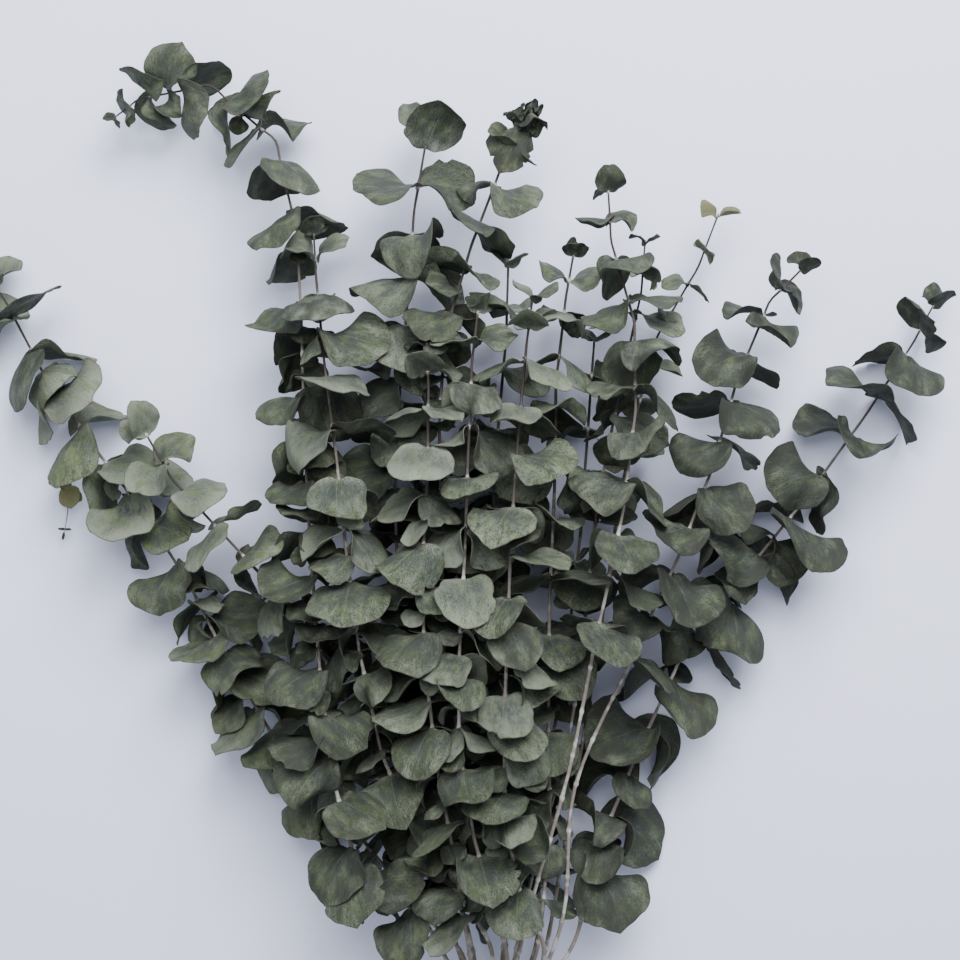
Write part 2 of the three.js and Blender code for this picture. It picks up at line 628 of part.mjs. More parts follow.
function meshOf(name, solid, finish) {
  const mesh = new THREE.Mesh(geometryFrom(solid), new THREE.MeshStandardMaterial(finish));
  mesh.name = name;
  return mesh;
}

/** All leafy stems: the twigs first, then the leaves of each stem in turn, set clear of what is there. */
function leafyStems() {
  const routes = STEMS.map((stem) => sampleRoute(centreline(stem)));
  const pairs = STEMS.map((stem, number) => pairPlaces(stem, number, routes[number]));
  const rings = STEMS.map((stem, number) => twigRings(stem, routes[number], pairs[number]));
  const placed = rings.map((twig, stemNumber) => {
    const solid = twigSolid(twig);
    return { solid, stemNumber, twig: true, box: boxOf(solid) };
  });
  return STEMS.map((stem, number) => {
    const leaves = pairs[number].flatMap((distance, pair) =>
      [0, 1].map((half) => setLeaf(stem, number, rings[number], pair, distance, half, placed)),
    );
    return meshOf(stem.name, leafyStemSolid(rings[number], leaves.filter(Boolean)), LEAF_FINISH);
  });
}

const bunch = new THREE.Group();
bunch.name = "dried_eucalyptus_bunch";
bunch.add(...leafyStems(), meshOf("tie", tieSolid(), TWINE_FINISH));

export default bunch;
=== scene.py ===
"""A tied bunch of dried silver-dollar eucalyptus, lying on a pale surface and seen from above.

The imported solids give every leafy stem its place. The stems' own measures and the rule that sets their
leaves are repeated here, and a leaf counts as grown where its tip is found on the solid of its stem. Each of
those leaves becomes a thin curled leaf with veins and a dusty bloom, and the gaps between the pairs of leaves
are filled with more of them, set clear of what is there.
"""

import logging
import math
from dataclasses import dataclass, field
from enum import Enum
from typing import Any, Sequence

import bpy
import numpy as np
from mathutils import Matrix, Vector
from mathutils.bvhtree import BVHTree
from mathutils.kdtree import KDTree


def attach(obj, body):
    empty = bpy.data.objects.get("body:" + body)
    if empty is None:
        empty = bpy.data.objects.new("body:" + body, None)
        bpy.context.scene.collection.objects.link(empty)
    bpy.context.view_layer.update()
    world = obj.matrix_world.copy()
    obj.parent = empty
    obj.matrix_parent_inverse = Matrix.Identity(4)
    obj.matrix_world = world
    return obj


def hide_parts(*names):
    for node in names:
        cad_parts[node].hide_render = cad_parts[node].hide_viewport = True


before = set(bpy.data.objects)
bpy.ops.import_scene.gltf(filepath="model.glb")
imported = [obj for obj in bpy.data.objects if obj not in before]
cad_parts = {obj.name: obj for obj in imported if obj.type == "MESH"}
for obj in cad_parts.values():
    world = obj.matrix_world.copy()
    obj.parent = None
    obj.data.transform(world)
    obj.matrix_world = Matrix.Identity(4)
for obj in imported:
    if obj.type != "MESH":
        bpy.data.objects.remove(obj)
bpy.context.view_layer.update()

Array = np.ndarray
Pair = tuple[float, float]
Place = tuple[float, float, float]
Hang = tuple[float, float, float]
Colour = tuple[float, float, float]
Faces = list[tuple[int, ...]]
Shell = tuple[Array, Faces]

log = logging.getLogger("eucalyptus")

MM = 0.001
UP = np.array([0.0, 0.0, 1.0])
FULL_TURN = 2 * math.pi

# ---------- Measures that the stems share, in millimetres and degrees ----------

TWINE_THICKNESS = 2.2
TWINE_TURNS = 5
TIE_INNER_RADIUS = 10.7
TIE_OUTER_RADIUS = TIE_INNER_RADIUS + TWINE_THICKNESS
TIE_CENTRE_HEIGHT = TIE_OUTER_RADIUS - 0.45
PLY_DEPTH = 0.2

PACKING_STEP = 4.15
ROW_STEP = PACKING_STEP * 0.87
MIDDLE_ROW = 2
STRAIGHT_THROUGH_TIE = 9.0
CUT_END = -66.0
CUT_END_SPREAD = 1.7
CUT_END_STEP_PER_COLUMN = -5.0
CUT_END_STEP_PER_ROW = 4.0
LOWEST_CUT_STEM = 2.4

FAN_START = 92.0
FAN_STEP_ACROSS = 23.0
FAN_STEP_UP = 13.0
FAN_CENTRE_ACROSS = 6.0
FAN_CENTRE_HEIGHT = 37.0

STEM_SIDES = 4
BELOW_LAST_PAIR = 6.0
BARE_RINGS = (0.0, 0.3, 0.6, 0.85)
ROUTE_STEPS_PER_SPAN = 12
BARE_BELOW = 104.0
BLADE_THICKNESS = 0.7
FIRST_PAIR_FROM_TIP = 2.5
PAIR_GAP = 7.2
PAIR_GAP_PER_LEAF_LENGTH = 0.56
PAIR_GAP_SHARE = (0.88, 1.14)
TRIES_PER_LEAF = 18
SEEDS_PER_STEM = 61
SEEDS_PER_LEAF = 41

START_DROOP = (-8.0, 34.0)
ADDED_DROOP = (4.0, 50.0)
FACE_UP_ROLL = (18.0, 54.0)
UPRIGHT_AT_TIP = 76.0
UPRIGHT_WITHIN = 42.0
HANGING_FACE_UP = 0.2
HANGING_DROOP = 16.0
LOOSE_ROLL = (-18.0, 18.0)
MARGIN_FOLD = (-34.0, 20.0)
CURLED_MARGIN_FOLD = (-74.0, 66.0)
CURLED_SHARE = 0.14
SIDEWAYS_LEAN = (-17.0, 17.0)
LENGTH_SHARE = (0.88, 1.1)
WIDTH_SHARE = (1.02, 1.2)
SHRINK_AFTER_TRY = 7
SHRINK_PER_TRY = 0.04
WIDER_DROOP_PER_TRY = 3.0


class Growth(Enum):
    """How a stem dried.

    The numbers say how olive its leaves are, the share of them that are darkened, how dusty they are, and how
    dark every one of them is at least. The darkening is partly the leaves' own scorched tone and partly
    painted shade.
    """

    SILVER = (0.15, 0.3, 1.0, 0.0)
    GREY = (0.2, 0.4, 0.55, 0.36)
    OLIVE = (0.7, 0.3, 0.95, 0.0)
    YELLOW_TIPPED = (0.6, 0.06, 0.8, 0.0)
    DARK = (0.2, 0.4, 0.8, 0.0)
    SCORCHED_TIP = (0.3, 0.4, 0.45, 0.38)
    SLATE = (0.15, 0.5, 0.35, 0.66)


class LeafKind(Enum):
    """Where a leaf comes from and how it dried."""

    GROWN = "grown"
    FILLED_IN = "filled in"
    RUFFLED = "ruffled"
    CRUMPLED = "crumpled"
    PALE = "pale"

    def is_scorched(self) -> bool:
        """Returns whether the leaf shrivelled as it dried."""
        return self in (LeafKind.CRUMPLED, LeafKind.RUFFLED)


@dataclass(frozen=True)
class Stem:
    """One leafy stem as it stands in the bunch.

    place is its column and row in the tie. radius is at the cut end and at the tip. leaf is the full length
    of its leaves, their length at the tip, and the distance over which they grow to full length. spread
    widens the gaps between pairs. turn is where the first leaf points. route runs from the foot of the leafy
    part to the tip. filled is the share of the gaps between pairs that get leaves too, and it is reached at
    the distance filled_over from the tip. face_up is how far the leaves turn their faces up against those of
    the other stems. hangs gives the distances from the tip between which the leaves hang like the sides of a
    tent. No leaf grows nearer the tie than bare_below.
    """

    name: str
    place: Pair
    radius: Pair
    leaf: tuple[float, float, float]
    spread: float
    turn: float
    route: tuple[Place, ...]
    growth: Growth = Growth.SILVER
    filled: float = 1.0
    filled_over: float = 200.0
    face_up: float = 1.0
    hangs: Pair = (0.0, 0.0)
    bare_below: float = BARE_BELOW

    def hanging(self, distance: float) -> bool:
        """Returns whether the leaves at a distance from the tip hang like the sides of a tent."""
        return self.hangs[0] < distance < self.hangs[1]

    def turned_up(self, distance: float) -> float:
        """Returns how far the leaves at a distance from the tip turn their faces up."""
        return HANGING_FACE_UP if self.hanging(distance) else self.face_up

    def steeper(self, distance: float) -> float:
        """Returns how many degrees steeper the leaves at a distance from the tip droop."""
        return HANGING_DROOP if self.hanging(distance) else 0.0


STEMS: tuple[Stem, ...] = (
    Stem(
        "stem_front_center", (0, 4), (1.8, 0.9), (36, 16, 70), 1, 10,
        ((-9, 124, 74), (-13, 156, 80), (-20, 192, 84), (-22, 234, 85), (-19, 288, 84),
         (-17, 342, 82), (-15, 396, 78), (-13, 438, 72), (-10, 461, 68)),
    ),
    Stem(
        "stem_front_right", (1, 4), (1.8, 0.9), (37, 15, 70), 1, 70,
        ((10, 124, 74), (5, 168, 80), (5, 222, 84), (7, 276, 85), (9, 330, 84), (13, 384, 80),
         (17, 429, 74), (22, 468, 66)),
        filled=0.8,
    ),
    Stem(
        "stem_front_left", (-1, 4), (1.8, 0.9), (36, 15, 70), 1, 60,
        ((-22, 127, 70), (-30, 174, 76), (-39, 228, 80), (-42, 276, 82), (-42, 324, 82),
         (-39, 372, 80), (-39, 414, 76), (-40, 441, 72)),
    ),
    Stem(
        "stem_broken_top", (-0.5, 3), (1.8, 0.8), (39, 10, 60), 1, 0,
        ((-33, 126, 58), (-56, 168, 62), (-71, 216, 66), (-80, 264, 72), (-86, 312, 76),
         (-91, 360, 76), (-97, 408, 72), (-103, 450, 64), (-106, 480, 56), (-108, 509, 50)),
    ),
    Stem(
        "stem_right_front", (0.5, 3), (1.8, 0.8), (34, 16, 80), 1.05, 20,
        ((24, 122, 66), (32, 144, 72), (44, 198, 78), (53, 246, 80), (64, 294, 80), (74, 342, 78),
         (80, 384, 74), (83, 426, 70), (80, 462, 64), (71, 491, 58), (67, 513, 54), (67, 534, 52)),
        Growth.GREY, 0.5, bare_below=270,
    ),
    Stem(
        "stem_arched", (-1.5, 3), (1.8, 0.6), (37, 5, 60), 1, 45,
        ((-64, 112, 58), (-82, 134, 66), (-91, 164, 71), (-97, 207, 74), (-104, 258, 72),
         (-107, 309, 66), (-112, 366, 60), (-114, 426, 54), (-116, 474, 48), (-119, 513, 44),
         (-123, 540, 42), (-131, 562, 40), (-142, 580, 40), (-160, 593, 38), (-182, 599, 36),
         (-202, 595, 34), (-219, 588, 32), (-232, 578, 30)),
        Growth.SCORCHED_TIP, 1.0, 120, face_up=1.6, hangs=(118, 212),
    ),
    Stem(
        "stem_right_tall", (1.5, 3), (1.8, 0.8), (37, 13, 90), 1, 45,
        ((36, 124, 54), (44, 168, 56), (56, 201, 56), (67, 224, 56), (80, 252, 55), (94, 284, 54),
         (105, 307, 54), (117, 333, 53), (124, 354, 52), (133, 378, 50), (139, 399, 50),
         (145, 423, 50), (151, 441, 50), (158, 457, 50), (169, 474, 50), (184, 487, 50)),
        Growth.SLATE, 0.3, face_up=1.3, bare_below=235,
    ),
    Stem(
        "stem_tall_leaf", (-1, 2), (1.8, 0.9), (36, 31, 40), 1, 20,
        ((-30, 132, 40), (-44, 180, 40), (-54, 234, 40), (-58, 288, 40), (-60, 348, 42),
         (-57, 414, 46), (-52, 468, 50), (-49, 510, 51), (-45, 546, 50), (-41, 562, 50)),
        Growth.GREY,
    ),
    Stem(
        "stem_dark_tip", (0, 2), (1.8, 0.9), (35, 17, 110), 1, 50,
        ((-8, 132, 44), (-18, 186, 50), (-27, 240, 54), (-31, 294, 55), (-32, 348, 55),
         (-33, 402, 56), (-29, 450, 58), (-19, 486, 60), (-6, 517, 60), (5, 548, 58), (17, 571, 56)),
        Growth.SCORCHED_TIP,
    ),
    Stem(
        "stem_center_right", (1, 2), (1.8, 0.9), (38, 13, 80), 1.1, 5,
        ((27, 118, 42), (32, 150, 46), (32, 204, 50), (31, 264, 54), (34, 312, 56), (35, 354, 56),
         (35, 396, 54), (38, 438, 50), (43, 474, 48), (47, 496, 48)),
        filled=0.5,
    ),
    Stem(
        "stem_left_inner", (-1.5, 1), (1.8, 0.8), (34, 20, 90), 1, 40,
        ((-49, 138, 31), (-70, 180, 35), (-87, 222, 40), (-100, 255, 45), (-115, 277, 50),
         (-131, 295, 52), (-147, 312, 53), (-165, 332, 54), (-182, 349, 54), (-196, 367, 54),
         (-208, 389, 54)),
        Growth.OLIVE, face_up=1.4,
    ),
    Stem(
        "stem_right_middle", (0.5, 1), (1.8, 0.7), (34, 10, 80), 1.3, 75,
        ((24, 126, 28), (38, 174, 36), (47, 222, 42), (54, 276, 46), (58, 324, 48), (65, 372, 48),
         (76, 420, 46), (86, 462, 44), (90, 504, 42)),
        Growth.DARK, 0.4, bare_below=270,
    ),
    Stem(
        "stem_far_left", (-2, 2), (1.8, 0.8), (38, 16, 50), 0.9, 45,
        ((-66, 125, 30), (-99, 164, 24), (-129, 197, 24), (-153, 233, 25), (-169, 264, 26),
         (-183, 293, 27), (-201, 320, 28), (-218, 348, 28), (-235, 370, 28), (-251, 390, 27),
         (-267, 413, 27), (-281, 438, 27), (-296, 467, 27), (-313, 491, 26)),
        Growth.OLIVE, 0.7, face_up=1.5,
    ),
    Stem(
        "stem_far_right", (2, 2), (1.8, 0.7), (45, 14, 80), 0.95, 40,
        ((56, 118, 33), (74, 165, 28), (92, 207, 26), (110, 245, 26), (124, 275, 27),
         (141, 294, 28), (163, 313, 29), (183, 341, 29), (201, 368, 29), (217, 390, 28),
         (229, 404, 28), (243, 419, 28), (251, 437, 28), (258, 453, 28), (267, 468, 28)),
        Growth.SLATE, 0.3, face_up=1.5,
    ),
    Stem(
        "stem_yellow_thin", (1.5, 1), (1.8, 0.6), (26, 13, 300), 1.5, 80,
        ((42, 132, 22), (52, 186, 22), (60, 240, 24), (67, 294, 24), (76, 348, 24), (85, 396, 24),
         (94, 437, 26), (111, 468, 30), (123, 489, 32), (133, 509, 34), (135, 521, 34)),
        Growth.YELLOW_TIPPED, 0.3, bare_below=330,
    ),
    Stem(
        "stem_back_right", (1, 0), (1.8, 0.9), (34, 14, 70), 1.5, 40,
        ((22, 132, 14), (34, 186, 20), (42, 240, 24), (48, 294, 26), (54, 348, 28), (57, 402, 32),
         (60, 447, 36)),
        Growth.DARK, 0.4,
    ),
    Stem(
        "stem_back_center", (0, 0), (1.8, 0.9), (34, 14, 70), 1.5, 65,
        ((2, 120, 16), (-1, 174, 22), (-4, 234, 24), (-4, 294, 26), (-1, 354, 28), (3, 408, 32),
         (7, 450, 38), (8, 491, 42)),
        Growth.DARK,
    ),
)


# ---------- Small tools ----------


class Draws:
    """A repeatable stream of draws between a low and a high value."""

    MODULUS = 2147483647
    MULTIPLIER = 16807
    LEFT_OUT = 4

    def __init__(self, seed: int) -> None:
        """Starts the stream. Args: seed, a whole number above zero."""
        self.state = seed % (self.MODULUS - 1) + 1
        for _ in range(self.LEFT_OUT):
            self.step()

    def step(self) -> int:
        """Moves the stream on and returns its new state."""
        self.state = self.state * self.MULTIPLIER % self.MODULUS
        return self.state

    def between(self, span: Pair) -> float:
        """Returns the next draw, between the two ends of span."""
        low, high = span
        return low + (high - low) * (self.step() / self.MODULUS)

    def chance(self) -> float:
        """Returns the next draw, between 0 and 1."""
        return self.between((0, 1))

    def turn(self) -> float:
        """Returns the next draw, an angle all the way round."""
        return self.between((0, FULL_TURN))


class Stream(Enum):
    """The streams of draws.

    The numbers keep them apart: the first seed, and the step from one to the next.
    """

    PAIRS = (7000, 97)
    TWIG = (400, 1)
    FILLING = (31, 1)
    SHAPE = (90001, 1)
    COLOUR = (51007, 1)
    CRUMPLED = (8800, 1)
    FRAYED = (9100, 1)

    def draws(self, number: int) -> Draws:
        """Starts the stream that goes with a number."""
        first, step = self.value
        return Draws(first + step * number)


def unit(vector: Array) -> Array:
    """Returns vector at length one."""
    return vector / np.linalg.norm(vector)


def smooth(share: Array | float) -> Array | float:
    """Returns share eased in and out between 0 and 1."""
    held = np.clip(share, 0.0, 1.0)
    return held * held * (3 - 2 * held)


def bell(value: Array, centre: float, width: float) -> Array:
    """Returns 1 where value is at centre, falling off to 0 over width."""
    return np.exp(-(((value - centre) / width) ** 2))


def centripetal(points: Array, steps_per_span: int) -> Array:
    """Runs a smooth curve through points.

    Args:
        points: the points, one a row.
        steps_per_span: how many steps the curve takes from one point to the next.

    Returns:
        The points of the curve, one a row.
    """
    ends = np.vstack([2 * points[0] - points[1], points, 2 * points[-1] - points[-2]])
    weights = (np.arange(steps_per_span) / steps_per_span)[:, None]
    spans = []
    for x0, x1, x2, x3 in zip(ends, ends[1:], ends[2:], ends[3:]):
        dt0, dt1, dt2 = (math.sqrt(np.linalg.norm(b - a)) for a, b in ((x0, x1), (x1, x2), (x2, x3)))
        t1 = ((x1 - x0) / dt0 - (x2 - x0) / (dt0 + dt1) + (x2 - x1) / dt1) * dt1
        t2 = ((x2 - x1) / dt1 - (x3 - x1) / (dt1 + dt2) + (x3 - x2) / dt2) * dt1
        cubic = (x1, t1, -3 * x1 + 3 * x2 - 2 * t1 - t2, 2 * x1 - 2 * x2 + t1 + t2)
        spans.append(sum(term * weights**power for power, term in enumerate(cubic)))
    return np.vstack([*spans, points[-1:]])


def travelled(line: Array) -> Array:
    """Returns how far along a line each of its points is."""
    return np.concatenate([[0.0], np.cumsum(np.linalg.norm(np.diff(line, axis=0), axis=1))])


def points_at(line: Array, distances: Array) -> Array:
    """Returns the points of a line at some distances along it."""
    return np.column_stack([np.interp(distances, travelled(line), column) for column in line.T])


def resting(points: Array, lowest: float) -> Array:
    """Returns points with those that lie too low raised to the lowest height."""
    return np.maximum(points, (-math.inf, -math.inf, lowest))


def joined(shells: Sequence[Shell]) -> Shell:
    """Returns several meshes as one."""
    faces: Faces = []
    count = 0
    for points, own_faces in shells:
        faces += [tuple(int(corner) + count for corner in face) for face in own_faces]
        count += len(points)
    return np.vstack([points for points, _ in shells]), faces


def make_piece(
    name: str, shell: Shell, finish: bpy.types.Material, values: dict[str, Array], rounded: bool = True
) -> bpy.types.Object:
    """Makes an object of a mesh, at its place in the bunch.

    Args:
        name: name of the object.
        shell: its vertices in millimetres, and the vertex numbers of each face, counter-clockwise from
            outside.
        finish: its material.
        values: by name, the numbers that the finish reads, one for each vertex.
        rounded: whether the faces are shaded smooth.

    Returns:
        The new object, linked to the scene.
    """
    points, faces = shell
    mesh = bpy.data.meshes.new(name)
    mesh.from_pydata((points * MM).tolist(), [], faces)
    mesh.polygons.foreach_set("use_smooth", [rounded] * len(mesh.polygons))
    mesh.update()
    for label, numbers in values.items():
        attribute = mesh.attributes.new(label, "FLOAT", "POINT")
        attribute.data.foreach_set("value", np.asarray(numbers, np.float32))
    mesh.materials.append(finish)
    made = bpy.data.objects.new(name, mesh)
    bpy.context.scene.collection.objects.link(made)
    return made


def sweep(line: Array, radii: Array, sides: int, plies: int = 0, pitch: float = 1.0) -> Shell:
    """Sweeps a section along a line and closes both ends.

    Args:
        line: points of the line, one a row, in millimetres.
        radii: radius at each point.
        sides: corners of the section.
        plies: number of twisted plies that the section shows, or 0 for a round one.
        pitch: length over which the plies turn round once.

    Returns:
        The vertices and the faces.
    """
    steps = np.gradient(line, axis=0)
    tangents = steps / np.linalg.norm(steps, axis=1)[:, None]
    steep = abs(tangents[0][2]) >= 0.9
    normal = unit(np.cross(tangents[0], np.array([1.0, 0.0, 0.0]) if steep else UP))
    angles = np.arange(sides) * FULL_TURN / sides
    rows = []
    for point, tangent, radius, distance in zip(line, tangents, radii, travelled(line)):
        normal = unit(normal - tangent * normal.dot(tangent))
        other = np.cross(tangent, normal)
        reach = np.full(sides, radius)
        if plies:
            turned = angles - FULL_TURN * distance / pitch
            reach = radius * (1 - PLY_DEPTH + PLY_DEPTH * np.abs(np.cos(turned * plies / 2)))
        around = np.cos(angles)[:, None] * normal + np.sin(angles)[:, None] * other
        rows.append(point + reach[:, None] * around)
    faces: Faces = []
    for first in range(0, (len(line) - 1) * sides, sides):
        for side in range(sides):
            low, next_low = first + side, first + (side + 1) % sides
            faces.append((low, next_low, next_low + sides, low + sides))
    last = (len(line) - 1) * sides
    faces.append(tuple(reversed(range(sides))))
    faces.append(tuple(range(last, last + sides)))
    return np.vstack(rows), faces


# ---------- Shader maths ----------


class Wire:
    """A shader value that takes part in sums: each operator adds a Math node."""

    def __init__(self, bench: "Bench", socket: bpy.types.NodeSocket) -> None:
        """Wraps an output socket of a material. Args: bench, the material's bench; socket, the output."""
        self.bench = bench
        self.socket = socket

    def math(self, operation: str, *others: "Wire | float", held: bool = False) -> "Wire":
        """Adds a Math node.

        Args:
            operation: the node's operation.
            others: the values after this one.
            held: whether the result is kept between 0 and 1.

        Returns:
            The node's result.
        """
        return self.bench.math(operation, self, *others, held=held)

    def __add__(self, other: "Wire | float") -> "Wire":
        """Returns the sum."""
        return self.math("ADD", other)

    __radd__ = __add__

    def __sub__(self, other: "Wire | float") -> "Wire":
        """Returns the difference."""
        return self.math("SUBTRACT", other)

    def __rsub__(self, other: float) -> "Wire":
        """Returns the difference the other way round."""
        return self.bench.math("SUBTRACT", other, self)

    def __mul__(self, other: "Wire | float") -> "Wire":
        """Returns the product."""
        return self.math("MULTIPLY", other)

    __rmul__ = __mul__

    def __abs__(self) -> "Wire":
        """Returns the value without its sign."""
        return self.math("ABSOLUTE")

    def held(self) -> "Wire":
        """Returns the value kept between 0 and 1."""
        return self.math("ADD", 0.0, held=True)

    def ramp(self, start: float, end: float) -> "Wire":
        """Returns 0 below start, 1 above end, and an eased step between. start may be above end."""
        node = self.bench.add(
            "ShaderNodeMapRange",
            {"interpolation_type": "SMOOTHSTEP"},
            {"Value": self, "From Min": start, "From Max": end},
        )
        return Wire(self.bench, node.outputs["Result"])


class Bench:
    """A material's node tree, with one method that adds any node."""

    def __init__(self, name: str) -> None:
        """Starts a material with an empty tree. Args: name, the material's name."""
        self.material = bpy.data.materials.new(name)
        self.material.use_nodes = True
        self.tree = self.material.node_tree
        self.tree.nodes.clear()

    def add(
        self, kind: str, settings: dict[str, Any] | None = None, sockets: dict[str, Any] | None = None
    ) -> bpy.types.Node:
        """Adds a node.

        Args:
            kind: the node's type.
            settings: its settings, set first.
            sockets: values or wires for its inputs, by name or identifier.

        Returns:
            The new node.
        """
        node = self.tree.nodes.new(kind)
        for name, value in (settings or {}).items():
            setattr(node, name, value)
        for name, value in (sockets or {}).items():
            socket = next(s for s in node.inputs if name in (s.identifier, s.name) and s.enabled)
            if isinstance(value, Wire):
                self.tree.links.new(value.socket, socket)
            else:
                socket.default_value = value
        return node

    def math(self, operation: str, *values: Wire | float, held: bool = False) -> Wire:
        """Adds a Math node over values. Returns its result."""
        sockets = {("Value", "Value_001", "Value_002")[i]: value for i, value in enumerate(values)}
        node = self.add("ShaderNodeMath", {"operation": operation, "use_clamp": held}, sockets)
        return Wire(self, node.outputs[0])

    def values(self, name: str) -> Wire:
        """Returns the numbers that the mesh stores under name."""
        node = self.add("ShaderNodeAttribute", {"attribute_name": name})
        return Wire(self, node.outputs["Fac"])

    def point(self, x: Wire | float, y: Wire | float, z: Wire | float) -> Wire:
        """Returns a vector of three values."""
        node = self.add("ShaderNodeCombineXYZ", None, {"X": x, "Y": y, "Z": z})
        return Wire(self, node.outputs[0])

    def place(self) -> Wire:
        """Returns the place on the object, in metres."""
        return Wire(self, self.add("ShaderNodeTexCoord").outputs["Object"])

    def noise(self, where: Wire, scale: float, detail: float = 3.0, roughness: float = 0.55) -> Wire:
        """Returns cloudy noise. Args: where, the vector; scale, its fineness; detail and roughness of it."""
        sockets = {"Vector": where, "Scale": scale, "Detail": detail, "Roughness": roughness}
        return Wire(self, self.add("ShaderNodeTexNoise", None, sockets).outputs[0])

    def mix(self, share: Wire | float, first: Wire | Colour, second: Wire | Colour) -> Wire:
        """Mixes two colours.

        Args:
            share: how much of the second.
            first: a colour.
            second: a colour.

        Returns:
            The mixed colour.
        """
        colours = {
            key: value if isinstance(value, Wire) else (*value, 1.0)
            for key, value in (("A_Color", first), ("B_Color", second))
        }
        node = self.add("ShaderNodeMix", {"data_type": "RGBA"}, {"Factor_Float": share, **colours})
        return Wire(self, next(s for s in node.outputs if s.identifier == "Result_Color"))

    def bump(self, height: Wire, depth: float, strength: float) -> Wire:
        """Returns a surface direction. Args: height, the relief; depth, in metres; strength, its share."""
        node = self.add("ShaderNodeBump", None, {"Strength": strength, "Distance": depth, "Height": height})
        return Wire(self, node.outputs["Normal"])

    def finish(self, constants: dict[str, Any], wires: dict[str, Wire]) -> bpy.types.Material:
        """Adds the surface shader.

        Args:
            constants: what is the same all over, by socket name.
            wires: what varies over the surface, by socket name.

        Returns:
            The finished material.
        """
        shader = self.add("ShaderNodeBsdfPrincipled", None, {**constants, **wires})
        output = self.add("ShaderNodeOutputMaterial")
        self.tree.links.new(shader.outputs[0], output.inputs["Surface"])
        return self.material


# ---------- Finishes ----------


